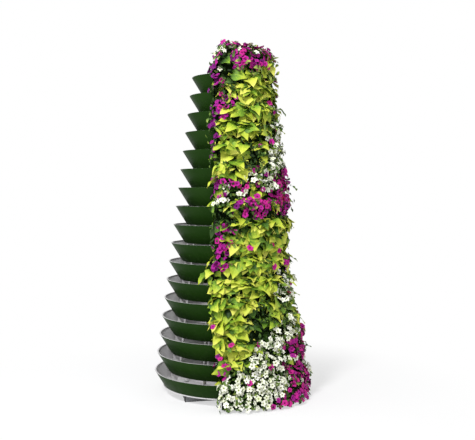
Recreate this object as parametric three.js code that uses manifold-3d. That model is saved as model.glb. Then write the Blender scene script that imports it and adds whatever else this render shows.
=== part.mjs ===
// Vertical planter tower: seventeen flared sheet-steel collars stacked on eight ledged posts,
// a drained floor plate on a low steel foot, a slotted watering pipe up the middle, and flowers
// and vines growing out of the planting gaps on one half, the other half being bare.
//
// Millimetres, +Z up. The origin is on the tower's axis at ground level, the photographed side
// faces -Y and the planted half lies towards +X. Azimuths are counted from the front (-Y)
// towards the right (+X).

import * as THREE from 'three';
import { mergeVertices } from 'three/addons/utils/BufferGeometryUtils.js';
import Module from 'manifold-3d';

const wasm = await Module();
wasm.setup();

// Collars
const TIER_COUNT = 17;
const TIER_PITCH = 150;
const BASE_RIM_RADIUS = 600;
const TOP_RIM_RADIUS = 288;
const COLLAR_DEPTH = 150;
const BASE_COLLAR_DEPTH = 120;
const COLLAR_LEAN = 31.5; // degrees from upright
const SHEET = 3;
const LIP_WIDTH = 12;
const HEM_WIDTH = 12;
const COLLAR_SIDES = 32;

// Posts
const POST_COUNT = 8;
const FIRST_POST_AZIMUTH = 22.5; // degrees
const POST_WIDTH = 45;
const POST_THICKNESS = 5;
const POST_HEAD = 32; // above the topmost ledge
const POST_FOOT_WIDTH = 70;
const POST_FOOT_THICKNESS = 5;
const RING_CLEARANCE = 1.2; // between a collar's hem and the post that it drops over

// Floor plate
const FLOOR_THICKNESS = 8;
const FLOOR_OVERHANG = 4; // past the foot of the lowest collar
const DRAIN_COUNT = 8;
const DRAIN_RADIUS = 14;
const DRAIN_CIRCLE_RADIUS = 330;
const DRAIN_SIDES = 8;

// Foot
const FOOT_LENGTH = 800;
const FOOT_DEPTH = 600;
const FOOT_TURN = 12; // degrees
const RAIL_HEIGHT = 60;
const RAIL_WIDTH = 60;
const RAIL_WALL = 4;
const RAIL_CHAMFER = 5;
const END_CAP_THICKNESS = 4;
const END_CAP_PLUG = 16;

// Watering pipe
const PIPE_RADIUS = 55;
const PIPE_WALL = 5;
const PIPE_BELOW_RIM = 34; // from the top rim down to the pipe's end
const PIPE_SIDES = 16;
const SLOT_WIDTH = 10;
const SLOT_LENGTH = 120;
const SLOT_ROWS = 4;
const SOCKET_HEIGHT = 40;
const SOCKET_WALL = 6;
const SOCKET_FLANGE_WIDTH = 32;
const SOCKET_FLANGE_THICKNESS = 5;
const PIPE_CAP_SKIRT = 26;
const PIPE_CAP_WALL = 3;

// Planting
const PLANTED_EDGE = -105; // X of the upright plane where the fullest planting stops
const PLANT_REACH = 108; // how far the foliage stands out past the rims, at its fullest
const PLANT_MOUND = 26; // hollow between two tiers' mounds of leaves
const PLANT_SWELL = 16; // slow swell of the foliage around the tower
const SWELL_WAVES = 3; // around the tower
const SWELL_TIER_SHIFT = 1.9; // radians by which the swell turns from tier to tier
const PLANT_WALL_GAP = 10;
const PLANT_NODE_GAP = 1;
const ROOT_DEPTH = 52;
const DRAPE = 62; // how far a tier's leaves hang below its rim
const SKIRT_GROUND_GAP = 12;
const CROWN_HEIGHT = 254; // above the top rim
const CROWN_ROOT_DEPTH = 92;
const CROWN_PIPE_GAP = 4;
const CROWN_SIDES = 24;
const SECTOR_STEPS = 3;

// Fit and cutting
const SEAT_GAP = 0.3; // between pieces that rest on each other
const CUT_OVERRUN = 5;
const MERGE_TOLERANCE = 0.001; // points closer than this are one

// Shares chosen by hand, from the ground up
const BANDS = [
  { name: 'petunias_base', tiers: [0, 2], reachShare: 0.78, edgeShare: 0.82 },
  { name: 'vine_lower', tiers: [3, 7], reachShare: 0.6, edgeShare: 1 },
  { name: 'petunias_middle', tiers: [8, 10], reachShare: 0.96, edgeShare: 1 },
  { name: 'vine_upper', tiers: [11, 15], reachShare: 1, edgeShare: 1 },
];
const SECTORS = [
  { name: 'front', from: null, to: 40 },
  { name: 'right_front', from: 40, to: 90 },
  { name: 'right_back', from: 90, to: 140 },
  { name: 'back', from: 140, to: null },
];
const CROWN_EDGE_SHARE = 0.72;
const CROWN_HEIGHT_SHARES = [0, 0.35, 0.72, 0.92, 1];
const CROWN_RADIUS_SHARES = [0.96, 1.01, 1, 0.88, 0.6];

// Derived sizes
const lean = THREE.MathUtils.degToRad(COLLAR_LEAN);
const leanSlope = Math.tan(lean);
const wallAcross = SHEET / Math.cos(lean);
const rimStep = (BASE_RIM_RADIUS - TOP_RIM_RADIUS) / (TIER_COUNT - 1);
const floorBottom = RAIL_HEIGHT + SEAT_GAP;
const floorTop = floorBottom + FLOOR_THICKNESS;
const baseRimHeight = floorTop + SEAT_GAP + BASE_COLLAR_DEPTH;
const topTier = TIER_COUNT - 1;

const rimRadius = (tier) => BASE_RIM_RADIUS - tier * rimStep;
const rimHeight = (tier) => baseRimHeight + tier * TIER_PITCH;
const collarDepth = (tier) => (tier === 0 ? BASE_COLLAR_DEPTH : COLLAR_DEPTH);
const footRadius = (tier) => rimRadius(tier) - collarDepth(tier) * leanSlope;
const footHeight = (tier) => rimHeight(tier) - collarDepth(tier);

// Materials
const paintedSteel = new THREE.MeshStandardMaterial({ color: 0x1f3812, roughness: 0.45, metalness: 0.1 });
const galvanised = new THREE.MeshStandardMaterial({ color: 0x8d8f90, roughness: 0.5, metalness: 0.8 });
const footSteel = new THREE.MeshStandardMaterial({ color: 0x75777a, roughness: 0.55, metalness: 0.6 });
const blackPlastic = new THREE.MeshStandardMaterial({ color: 0x1c1d1e, roughness: 0.6, metalness: 0 });
const greyPlastic = new THREE.MeshStandardMaterial({ color: 0x6f7275, roughness: 0.55, metalness: 0 });
const petuniaMass = new THREE.MeshStandardMaterial({ color: 0xb03a86, roughness: 0.8, metalness: 0 });
const vineMass = new THREE.MeshStandardMaterial({ color: 0xb9c93a, roughness: 0.8, metalness: 0 });

const tower = new THREE.Group();

function addMesh(parent, name, geometry, material) {
  const mesh = new THREE.Mesh(geometry, material);
  mesh.name = name;
  parent.add(mesh);
  return mesh;
}

const numbered = (name, index) => `${name}_${String(index + 1).padStart(2, '0')}`;

// Solid-making helpers

function positionsOnly(geometry) {
  const bare = geometry.clone();
  bare.deleteAttribute('normal');
  bare.deleteAttribute('uv');
  return mergeVertices(bare, MERGE_TOLERANCE);
}

function toManifold(geometry) {
  const merged = positionsOnly(geometry);
  return new wasm.Manifold(new wasm.Mesh({
    numProp: 3,
    vertProperties: new Float32Array(merged.attributes.position.array),
    triVerts: new Uint32Array(merged.index.array),
  }));
}

function fromManifold(solid) {
  const mesh = solid.getMesh();
  const geometry = new THREE.BufferGeometry();
  geometry.setAttribute('position', new THREE.BufferAttribute(mesh.vertProperties, mesh.numProp));
  geometry.setIndex(new THREE.BufferAttribute(mesh.triVerts, 1));
  geometry.computeVertexNormals();
  return geometry;
}

const cutAway = (geometry, cutters) =>
  fromManifold(cutters.reduce((solid, cutter) => solid.subtract(toManifold(cutter)), toManifold(geometry)));

const joined = (first, second) => fromManifold(toManifold(first).add(toManifold(second)));

// A closed profile of [radius, height] pairs turned about the Z axis.
function revolve(profile, sides) {
  const points = [...profile, profile[0]].map(([radius, height]) => new THREE.Vector2(radius, height));
  return new THREE.LatheGeometry(points, sides).rotateX(Math.PI / 2);
}

// The same for a profile that starts and ends on the axis.
function revolveFromAxis(profile, sides) {
  const points = profile.map(([radius, height]) => new THREE.Vector2(radius, height));
  return new THREE.LatheGeometry(points, sides).rotateX(Math.PI / 2);
}

// Triangles over a nearly flat loop of points: the loop is laid flat along its own normal,
// which is the sum of the cross products around it.
function capTriangles(loop) {
  const normal = new THREE.Vector3();
  loop.forEach((point, i) => normal.add(point.clone().cross(loop[(i + 1) % loop.length])));
  normal.normalize();
  const across = loop[1].clone().sub(loop[0]).projectOnPlane(normal).normalize();
  const along = normal.clone().cross(across);
  const flat = loop.map((point) => new THREE.Vector2(point.dot(across), point.dot(along)));
  return THREE.ShapeUtils.triangulateShape(flat, []);
}

function signedVolume(points, triangles) {
  return triangles.reduce((sum, [a, b, c]) =>
    sum + points[a].dot(points[b].clone().cross(points[c])) / 6, 0);
}

// A closed solid through loops with equal numbers of points, capped at both ends. The faces
// are turned round if the loops run the other way, so that they always point out.
function loft(loops) {
  const count = loops[0].length;
  const last = (loops.length - 1) * count;
  const points = loops.flat();
  const triangles = [];
  for (let row = 0; row + 1 < loops.length; row += 1) {
    for (let i = 0; i < count; i += 1) {
      const next = (i + 1) % count;
      const [low, high] = [row * count, (row + 1) * count];
      triangles.push([low + i, low + next, high + next], [low + i, high + next, high + i]);
    }
  }
  const firstCap = capTriangles(loops[0]).map(([a, b, c]) => [c, b, a]);
  const lastCap = capTriangles(loops[loops.length - 1]).map((face) => face.map((i) => i + last));
  triangles.push(...firstCap, ...lastCap);
  const facing = signedVolume(points, triangles) > 0;
  const geometry = new THREE.BufferGeometry().setFromPoints(points);
  geometry.setIndex(triangles.map((face) => (facing ? face : face.toReversed())).flat());
  geometry.computeVertexNormals();
  return geometry;
}

// Collars: each is one flared sheet with a lip folded in at the rim and a hem folded in at its
// foot. The hem of every collar but the lowest rests on the posts' ledges, level with the rim
// below, so a planting gap stays open all the way round.

function collarGeometry(tier) {
  const depth = collarDepth(tier);
  const rim = rimRadius(tier);
  const foot = footRadius(tier);
  const innerWall = (height) => foot + height * leanSlope - wallAcross;
  return revolve([
    [foot, 0],
    [rim, depth],
    [rim - LIP_WIDTH, depth],
    [rim - LIP_WIDTH, depth - SHEET],
    [innerWall(depth - SHEET), depth - SHEET],
    [innerWall(SHEET), SHEET],
    [foot - HEM_WIDTH, SHEET],
    [foot - HEM_WIDTH, 0],
  ], COLLAR_SIDES);
}

for (let tier = 0; tier < TIER_COUNT; tier += 1) {
  const collar = addMesh(tower, numbered('collar', tier), collarGeometry(tier), paintedSteel);
  collar.position.z = footHeight(tier);
}

// Posts: flat bars on edge, leaning in with the taper. The outer edge has one ledge for each
// collar, and above a ledge it is set back, so that every ring drops on from the top.

function postOutline() {
  const outline = new THREE.Shape();
  const foot = floorTop + SEAT_GAP;
  outline.moveTo(footRadius(1) - POST_WIDTH, foot);
  outline.lineTo(footRadius(1), foot);
  for (let tier = 1; tier < TIER_COUNT; tier += 1) {
    const ledge = footHeight(tier) - SEAT_GAP;
    outline.lineTo(footRadius(tier), ledge);
    outline.lineTo(footRadius(tier) - HEM_WIDTH - RING_CLEARANCE, ledge);
  }
  const topLedge = footHeight(topTier) - SEAT_GAP;
  outline.lineTo(footRadius(topTier) - HEM_WIDTH - RING_CLEARANCE, topLedge + POST_HEAD);
  outline.lineTo(footRadius(topTier) - POST_WIDTH, topLedge + POST_HEAD);
  outline.lineTo(footRadius(topTier) - POST_WIDTH, topLedge);
  return outline;
}

function postGeometry() {
  const bar = new THREE.ExtrudeGeometry(postOutline(), { depth: POST_THICKNESS, bevelEnabled: false });
  bar.rotateX(Math.PI / 2).translate(0, POST_THICKNESS / 2, 0);
  const plate = new THREE.BoxGeometry(POST_WIDTH, POST_FOOT_WIDTH, POST_FOOT_THICKNESS);
  plate.translate(footRadius(1) - POST_WIDTH / 2, 0, floorTop + SEAT_GAP + POST_FOOT_THICKNESS / 2);
  return joined(bar, plate);
}

for (let post = 0; post < POST_COUNT; post += 1) {
  const azimuth = THREE.MathUtils.degToRad(FIRST_POST_AZIMUTH) + (post * 2 * Math.PI) / POST_COUNT;
  addMesh(tower, numbered('post', post), postGeometry(), galvanised).rotation.z = azimuth - Math.PI / 2;
}

// Floor plate: a disc with a ring of drain holes, which carries the posts, the pipe socket and
// the lowest collar.

function floorGeometry() {
  const disc = new THREE.Shape();
  disc.absarc(0, 0, footRadius(0) + FLOOR_OVERHANG, 0, 2 * Math.PI);
  const plain = new THREE.ExtrudeGeometry(disc, {
    depth: FLOOR_THICKNESS,
    bevelEnabled: false,
    curveSegments: COLLAR_SIDES,
  });
  const drains = Array.from({ length: DRAIN_COUNT }, (_, i) => {
    const angle = (i * 2 * Math.PI) / DRAIN_COUNT;
    const drill = new THREE.CylinderGeometry(
      DRAIN_RADIUS, DRAIN_RADIUS, FLOOR_THICKNESS + 2 * CUT_OVERRUN, DRAIN_SIDES);
    return drill.rotateX(Math.PI / 2).translate(
      DRAIN_CIRCLE_RADIUS * Math.cos(angle), DRAIN_CIRCLE_RADIUS * Math.sin(angle), FLOOR_THICKNESS / 2);
  });
  return cutAway(plain, drains);
}

addMesh(tower, 'floor_plate', floorGeometry(), galvanised).position.z = floorBottom;

// Foot: a frame of box tubes lying on the ground, turned a little against the tower, with
// plastic caps in the four open tube ends.

function boxTube(length) {
  const [x, y] = [RAIL_WIDTH / 2, RAIL_HEIGHT / 2];
  const c = RAIL_CHAMFER;
  const section = new THREE.Shape();
  section.setFromPoints([
    [c - x, -y], [x - c, -y], [x, c - y], [x, y - c],
    [x - c, y], [c - x, y], [-x, y - c], [-x, c - y],
  ].map(([px, py]) => new THREE.Vector2(px, py)));
  const [bx, by] = [x - RAIL_WALL, y - RAIL_WALL];
  section.holes.push(new THREE.Path(
    [[-bx, -by], [bx, -by], [bx, by], [-bx, by]].map(([px, py]) => new THREE.Vector2(px, py))));
  return new THREE.ExtrudeGeometry(section, { depth: length, bevelEnabled: false })
    .rotateX(Math.PI / 2)
    .translate(0, length / 2, RAIL_HEIGHT / 2);
}

function endCapGeometry() {
  const plate = new THREE.BoxGeometry(END_CAP_THICKNESS, RAIL_WIDTH, RAIL_HEIGHT);
  const inside = 2 * (RAIL_WALL + SEAT_GAP);
  const plug = new THREE.BoxGeometry(END_CAP_PLUG, RAIL_WIDTH - inside, RAIL_HEIGHT - inside);
  plug.translate(-END_CAP_PLUG / 2, 0, 0);
  return joined(plate, plug).translate(-END_CAP_THICKNESS / 2, 0, RAIL_HEIGHT / 2);
}

const foot = new THREE.Group();
foot.rotation.z = THREE.MathUtils.degToRad(FOOT_TURN);
tower.add(foot);

const longRail = FOOT_LENGTH - 2 * (END_CAP_THICKNESS + SEAT_GAP);
const shortRail = FOOT_DEPTH - 2 * (RAIL_WIDTH + SEAT_GAP);
const railLine = (FOOT_DEPTH - RAIL_WIDTH) / 2;
const sideLine = (longRail - RAIL_WIDTH) / 2;

for (const [side, sign] of [['front', -1], ['back', 1]]) {
  const rail = addMesh(foot, `foot_rail_${side}`, boxTube(longRail), footSteel);
  rail.rotation.z = Math.PI / 2;
  rail.position.y = sign * railLine;
  for (const [end, way] of [['left', -1], ['right', 1]]) {
    const cap = addMesh(foot, `foot_cap_${side}_${end}`, endCapGeometry(), blackPlastic);
    cap.rotation.z = way > 0 ? 0 : Math.PI;
    cap.position.set(way * (FOOT_LENGTH / 2), sign * railLine, 0);
  }
}

for (const [name, place] of [['left', -sideLine], ['middle', 0], ['right', sideLine]]) {
  addMesh(foot, `foot_crossbar_${name}`, boxTube(shortRail), footSteel).position.x = place;
}

// Watering pipe: stands in a flanged socket on the floor, with rows of slots that let the water
// out to every tier, and a push-on cap against soil and leaves.

const pipeFoot = floorTop + SEAT_GAP + SOCKET_FLANGE_THICKNESS + SEAT_GAP;
const pipeTop = rimHeight(topTier) - PIPE_BELOW_RIM;
const pipeLength = pipeTop - pipeFoot;

function pipeGeometry() {
  const tube = revolve([
    [PIPE_RADIUS - PIPE_WALL, 0],
    [PIPE_RADIUS, 0],
    [PIPE_RADIUS, pipeLength],
    [PIPE_RADIUS - PIPE_WALL, pipeLength],
  ], PIPE_SIDES);
  const through = 2 * (PIPE_RADIUS + CUT_OVERRUN);
  const cutters = [];
  for (let row = 0; row < SLOT_ROWS; row += 1) {
    const height = ((row + 1) * pipeLength) / (SLOT_ROWS + 1);
    cutters.push(
      new THREE.BoxGeometry(through, SLOT_WIDTH, SLOT_LENGTH).translate(0, 0, height),
      new THREE.BoxGeometry(SLOT_WIDTH, through, SLOT_LENGTH).translate(0, 0, height),
    );
  }
  return cutAway(tube, cutters);
}

function socketGeometry() {
  const bore = PIPE_RADIUS + SEAT_GAP;
  const flange = bore + SOCKET_WALL + SOCKET_FLANGE_WIDTH;
  const seat = PIPE_RADIUS - PIPE_WALL;
  return revolve([
    [seat, 0],
    [flange, 0],
    [flange, SOCKET_FLANGE_THICKNESS],
    [bore + SOCKET_WALL, SOCKET_FLANGE_THICKNESS],
    [bore + SOCKET_WALL, SOCKET_HEIGHT],
    [bore, SOCKET_HEIGHT],
    [bore, SOCKET_FLANGE_THICKNESS],
    [seat, SOCKET_FLANGE_THICKNESS],
  ], PIPE_SIDES);
}

function pipeCapGeometry() {
  const bore = PIPE_RADIUS + SEAT_GAP;
  return revolveFromAxis([
    [0, 0],
    [bore, 0],
    [bore, -PIPE_CAP_SKIRT],
    [bore + PIPE_CAP_WALL, -PIPE_CAP_SKIRT],
    [bore + PIPE_CAP_WALL, PIPE_CAP_WALL],
    [0, 2 * PIPE_CAP_WALL],
  ], PIPE_SIDES);
}

addMesh(tower, 'watering_pipe', pipeGeometry(), greyPlastic).position.z = pipeFoot;
addMesh(tower, 'pipe_socket', socketGeometry(), greyPlastic).position.z = floorTop + SEAT_GAP;
addMesh(tower, 'pipe_cap', pipeCapGeometry(), greyPlastic).position.z = pipeTop + SEAT_GAP;

// Planting: masses of foliage, split by height and by side. Each dips its roots into the
// planting gaps, rests on the rims and hangs over them, so its inner side is a row of teeth.

const rimLine = (height) => BASE_RIM_RADIUS - ((height - baseRimHeight) * rimStep) / TIER_PITCH;
const wallOutside = (tier, height) => rimRadius(tier) - (rimHeight(tier) - height) * leanSlope;

// The foliage swells and shrinks slowly around the tower and from tier to tier.
const swell = (azimuth, tier) => PLANT_SWELL * Math.sin(SWELL_WAVES * azimuth + SWELL_TIER_SHIFT * tier);

// The lowest leaves hang outside both the floor plate and the corners of the foot.
const footCornerReach = Math.hypot(FOOT_LENGTH, FOOT_DEPTH) / 2;
const skirtRadius = Math.max(footRadius(0) + FLOOR_OVERHANG, footCornerReach) + PLANT_WALL_GAP;

// Inner side of a band, going up: over each rim, down into the gap behind it, and up again
// along the next collar's wall.
function innerSide(firstTier, lastTier) {
  const points = [];
  for (let tier = firstTier; tier <= lastTier; tier += 1) {
    const rim = rimRadius(tier);
    const seat = rimHeight(tier) + SEAT_GAP;
    const nextFoot = footRadius(tier + 1) + PLANT_WALL_GAP;
    const rootRadius = (rim + footRadius(tier + 1)) / 2 - PLANT_WALL_GAP;
    points.push([rim + PLANT_WALL_GAP, seat]);
    points.push([rim - LIP_WIDTH - PLANT_WALL_GAP, seat]);
    points.push([rootRadius, seat - ROOT_DEPTH]);
    points.push([nextFoot, seat]);
  }
  return points;
}

function bandSection({ tiers: [firstTier, lastTier], reachShare }, azimuth) {
  const isBase = firstTier === 0;
  const isLast = lastTier + 1 === topTier;
  const bottom = isBase ? SKIRT_GROUND_GAP : rimHeight(firstTier) - DRAPE + PLANT_NODE_GAP;
  const top = rimHeight(lastTier + 1) - (isLast ? PLANT_NODE_GAP : DRAPE);
  const inner = isBase
    ? [[skirtRadius, bottom], [skirtRadius, floorTop]]
    : [[wallOutside(firstTier, bottom) + PLANT_WALL_GAP, bottom]];
  inner.push(...innerSide(firstTier, lastTier));
  inner.push([wallOutside(lastTier + 1, top) + PLANT_WALL_GAP, top]);
  const reach = PLANT_REACH * reachShare;
  const outer = [[rimLine(top) + reach - PLANT_MOUND, top]];
  for (let tier = lastTier; tier >= firstTier; tier -= 1) {
    const peak = rimHeight(tier) + PLANT_MOUND;
    const hollow = rimHeight(tier) - DRAPE;
    outer.push([rimLine(peak) + reach + swell(azimuth, tier), peak]);
    if (tier > firstTier) outer.push([rimLine(hollow) + reach - PLANT_MOUND, hollow]);
  }
  outer.push([rimLine(bottom) + reach - PLANT_MOUND, bottom]);
  return [...inner, ...outer];
}

// Where the upright plane of a band's planted edge meets a circle, in front or behind.
const edgeAzimuth = (band, radius) => Math.asin((PLANTED_EDGE * band.edgeShare) / radius);

const onCircle = (radius, azimuth, height) =>
  new THREE.Vector3(radius * Math.sin(azimuth), -radius * Math.cos(azimuth), height);

function plantingGeometry(band, sector) {
  const halfGap = PLANT_NODE_GAP / BASE_RIM_RADIUS;
  const lowEnd = THREE.MathUtils.degToRad(sector.from) + halfGap;
  const highEnd = THREE.MathUtils.degToRad(sector.to) - halfGap;
  const from = (radius) => (sector.from === null ? edgeAzimuth(band, radius) : lowEnd);
  const to = (radius) => (sector.to === null ? Math.PI - edgeAzimuth(band, radius) : highEnd);
  const loops = [];
  for (let step = 0; step <= SECTOR_STEPS; step += 1) {
    const share = step / SECTOR_STEPS;
    const middle = THREE.MathUtils.lerp(from(BASE_RIM_RADIUS), to(BASE_RIM_RADIUS), share);
    loops.push(bandSection(band, middle).map(([radius, height]) =>
      onCircle(radius, THREE.MathUtils.lerp(from(radius), to(radius), share), height)));
  }
  return loft(loops);
}

for (const band of BANDS) {
  const material = band.name.startsWith('vine') ? vineMass : petuniaMass;
  for (const sector of SECTORS) {
    addMesh(tower, `${band.name}_${sector.name}`, plantingGeometry(band, sector), material);
  }
}

// Crown: one mound over the top collar, with a root ball down inside it around the pipe.
function crownGeometry() {
  const seat = rimHeight(topTier) + SEAT_GAP;
  const rootRadius = rimRadius(topTier) - LIP_WIDTH - PLANT_WALL_GAP;
  const rootFoot = rootRadius - CROWN_ROOT_DEPTH * leanSlope;
  const reach = rimRadius(topTier) + PLANT_REACH;
  const mound = CROWN_HEIGHT_SHARES.map((heightShare, i) => [
    reach * CROWN_RADIUS_SHARES[i] + PLANT_SWELL / 2 * Math.sin(2 * i),
    seat + heightShare * CROWN_HEIGHT,
  ]);
  const whole = revolveFromAxis([
    [0, seat - CROWN_ROOT_DEPTH],
    [rootFoot, seat - CROWN_ROOT_DEPTH],
    [rootRadius, seat],
    ...mound,
    [0, seat + CROWN_HEIGHT],
  ], CROWN_SIDES);
  const bareEdge = PLANTED_EDGE * CROWN_EDGE_SHARE;
  const width = reach + PLANT_SWELL + CUT_OVERRUN;
  const height = CROWN_ROOT_DEPTH + CROWN_HEIGHT + 2 * CUT_OVERRUN;
  const bareHalf = new THREE.BoxGeometry(width, 2 * width, height)
    .translate(bareEdge - width / 2, 0, seat - CROWN_ROOT_DEPTH - CUT_OVERRUN + height / 2);
  const capTop = pipeTop + SEAT_GAP + 2 * PIPE_CAP_WALL;
  const wellRadius = PIPE_RADIUS + SEAT_GAP + PIPE_CAP_WALL + CROWN_PIPE_GAP;
  const wellFoot = seat - CROWN_ROOT_DEPTH - CUT_OVERRUN;
  const wellTop = capTop + CROWN_PIPE_GAP;
  const well = new THREE.CylinderGeometry(wellRadius, wellRadius, wellTop - wellFoot, PIPE_SIDES)
    .rotateX(Math.PI / 2)
    .translate(0, 0, (wellFoot + wellTop) / 2);
  return cutAway(whole, [bareHalf, well]);
}

addMesh(tower, 'petunias_crown', crownGeometry(), petuniaMass);

export default tower;
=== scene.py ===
# %% [markdown]
# Vertical planter tower: seventeen flared steel collars stacked on ledged posts, a low foot, and
# flowers and vines that cover one half. The CAD model gives every size and place. This notebook
# dresses it: smooth rolled sheet for the collars, finishes for the steel and the plastic, and a
# planting grown leaf by leaf over the masses of foliage that the CAD model holds.

# %% Load the frame
import math

import bpy
import numpy as np
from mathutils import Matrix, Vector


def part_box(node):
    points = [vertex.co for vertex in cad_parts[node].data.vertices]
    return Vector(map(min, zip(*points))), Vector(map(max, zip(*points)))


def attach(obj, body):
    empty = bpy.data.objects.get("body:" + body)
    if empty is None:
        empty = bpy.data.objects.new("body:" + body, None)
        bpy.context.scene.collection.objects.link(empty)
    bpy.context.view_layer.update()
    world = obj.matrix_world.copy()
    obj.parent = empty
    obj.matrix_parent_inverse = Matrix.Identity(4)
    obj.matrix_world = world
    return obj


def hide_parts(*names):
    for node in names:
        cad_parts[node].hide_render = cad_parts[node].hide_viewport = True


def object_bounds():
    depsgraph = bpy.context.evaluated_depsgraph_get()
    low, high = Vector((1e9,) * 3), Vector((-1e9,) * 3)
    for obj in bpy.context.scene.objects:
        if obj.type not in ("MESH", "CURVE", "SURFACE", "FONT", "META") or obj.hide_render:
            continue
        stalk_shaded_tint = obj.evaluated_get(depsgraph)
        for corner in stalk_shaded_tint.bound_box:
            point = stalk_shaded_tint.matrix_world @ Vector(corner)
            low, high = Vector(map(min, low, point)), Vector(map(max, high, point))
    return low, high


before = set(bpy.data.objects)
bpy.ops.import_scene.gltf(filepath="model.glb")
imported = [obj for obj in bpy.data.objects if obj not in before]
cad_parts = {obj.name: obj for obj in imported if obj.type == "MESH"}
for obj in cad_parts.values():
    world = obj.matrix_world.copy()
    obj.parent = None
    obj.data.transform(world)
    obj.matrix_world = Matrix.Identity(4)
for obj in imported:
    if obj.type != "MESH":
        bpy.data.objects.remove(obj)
cad_box = [list(corner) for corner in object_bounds()]
print("nodes:", len(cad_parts), "box:", np.round(cad_box, 3).tolist())

# %% [markdown]
# The camera comes first. The rims flatten to straight lines at the eye's height, and the way
# their ellipses open above and below it gives the distance. The tower stands left of the
# picture's middle, so the camera turns a little to the right and tips down, without any shift.

# %% The camera
IMAGE_WIDTH = 475
IMAGE_HEIGHT = 440
FOCAL_PIXELS = 725.6
AXIS_PIXEL_X = 227
HORIZON_PIXEL_Y = 193.3
CAMERA_PLACE = (0.0, -6.027, 1.642)
SENSOR_WIDTH = 36.0

turn = math.atan((IMAGE_WIDTH / 2 - AXIS_PIXEL_X) / FOCAL_PIXELS)
dip = math.atan((IMAGE_HEIGHT / 2 - HORIZON_PIXEL_Y) / FOCAL_PIXELS)
lens = bpy.data.cameras.new("camera")
lens.sensor_width = SENSOR_WIDTH
lens.lens = FOCAL_PIXELS * SENSOR_WIDTH / IMAGE_WIDTH
camera = bpy.data.objects.new("camera", lens)
camera.location = CAMERA_PLACE
camera.rotation_euler = (math.pi / 2 - dip, 0, -turn)
bpy.context.scene.collection.objects.link(camera)
bpy.context.scene.camera = camera
angles = np.round(np.degrees([turn, dip]), 2).tolist()
print("lens mm:", round(lens.lens, 2), "turn and dip:", angles)

# %% [markdown]
# Every size used below is read off the CAD nodes. A collar is a ring of sheet, so four radii, two
# heights and the sheet's thickness say all of it. The rims lie on one straight line from the
# lowest to the top.

# %% Measure the collars
TOUCH = 0.0002


def nodes_of(*prefixes):
    """Names of the CAD nodes that start with one of the prefixes, in order."""
    return sorted(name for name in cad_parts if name.startswith(prefixes))


def node_points(name):
    """All corner points of one CAD node, as rows of x, y, z."""
    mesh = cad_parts[name].data
    flat = np.empty(len(mesh.vertices) * 3)
    mesh.vertices.foreach_get("co", flat)
    return flat.reshape(-1, 3)


def ring_sizes(name):
    """Radii and heights of one collar: its foot, its rim, its lip's inner edge and its sheet."""
    points = node_points(name)
    radius = np.hypot(points[:, 0], points[:, 1])
    height = points[:, 2]
    levels = np.unique(np.round(height, 5))
    return {
        "foot_z": height.min(),
        "rim_z": height.max(),
        "foot": radius[height < height.min() + TOUCH].max(),
        "hem": radius[height < height.min() + TOUCH].min(),
        "rim": radius.max(),
        "lip": radius[height > height.max() - TOUCH].min(),
        "sheet": levels[1] - levels[0],
    }


collar_names = nodes_of("collar_")
rings = [ring_sizes(name) for name in collar_names]


def ring_values(size):
    """One size of all the collars, from the lowest to the top."""
    return np.array([ring[size] for ring in rings])


rim_heights, rim_radii = ring_values("rim_z"), ring_values("rim")
rim_slope, rim_zero = np.polyfit(rim_heights, rim_radii, 1)
tier_pitch = rim_heights[1] - rim_heights[0]
wall_slope = (rings[1]["rim"] - rings[1]["foot"]) / (rings[1]["rim_z"] - rings[1]["foot_z"])


def rim_line(height):
    """Radius of the straight line through all the rims, at any height."""
    return rim_zero + rim_slope * height


print("rims from and to:", np.round(rim_radii[[0, -1]], 3).tolist(), "pitch:", round(tier_pitch, 3))

# %% [markdown]
# Each new surface is a grid of points with quads between them. One helper numbers the corners of
# the quads, one numbers them again for many copies, and one puts arrays of points, faces, maps and
# values into a mesh, as Blender takes whole arrays much faster than single points. Azimuths are
# counted from the front towards the right.

# %% Helpers for surfaces
UP = np.array([0.0, 0.0, 1.0])


def grid_faces(rows, columns, around=False):
    """Corner numbers of a grid's quads; around joins the last column to the first."""
    row, column = np.meshgrid(np.arange(rows - 1), np.arange(columns - (not around)), indexing="ij")
    beside = (column + 1) % columns
    here, above = row * columns, (row + 1) * columns
    ends = [here + column, here + beside, above + beside, above + column]
    return np.stack(ends, -1).reshape(-1, 4)


def for_copies(faces, count, corners):
    """A template's faces for each of its copies, which have that many corners each."""
    return (faces[None] + (np.arange(count) * corners)[:, None, None]).reshape(-1, 4)


def make_piece(name, points, faces, materials, face_slots=None, maps=None, values=None,
               smooth=True):
    """One mesh object of quads; maps hold UV pairs and values hold numbers for each point."""
    mesh = bpy.data.meshes.new(name)
    mesh.vertices.add(len(points))
    mesh.vertices.foreach_set("co", np.asarray(points, np.float32).ravel())
    mesh.loops.add(faces.size)
    mesh.loops.foreach_set("vertex_index", faces.astype(np.int32).ravel())
    mesh.polygons.add(len(faces))
    mesh.polygons.foreach_set("loop_start", np.arange(0, faces.size, 4, dtype=np.int32))
    mesh.polygons.foreach_set("use_smooth", np.full(len(faces), smooth))
    for material in materials:
        mesh.materials.append(material)
    if face_slots is not None:
        mesh.polygons.foreach_set("material_index", np.asarray(face_slots, np.int32))
    for map_name, pairs in (maps or {}).items():
        layer = mesh.uv_layers.new(name=map_name)
        layer.data.foreach_set("uv", pairs[faces.ravel()].astype(np.float32).ravel())
    for value_name, numbers in (values or {}).items():
        layer = mesh.attributes.new(value_name, "FLOAT", "POINT")
        layer.data.foreach_set("value", np.asarray(numbers, np.float32))
    mesh.update(calc_edges=True)
    mesh.validate()
    piece = bpy.data.objects.new(name, mesh)
    bpy.context.scene.collection.objects.link(piece)
    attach(piece, "root")
    return piece


def even_angles(count):
    """That many angles, evenly around from 0."""
    return np.arange(count) * 2 * np.pi / count


def level_way(azimuth):
    """The level way out at each azimuth."""
    return np.stack([np.sin(azimuth), -np.cos(azimuth), 0 * azimuth], -1)


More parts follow.
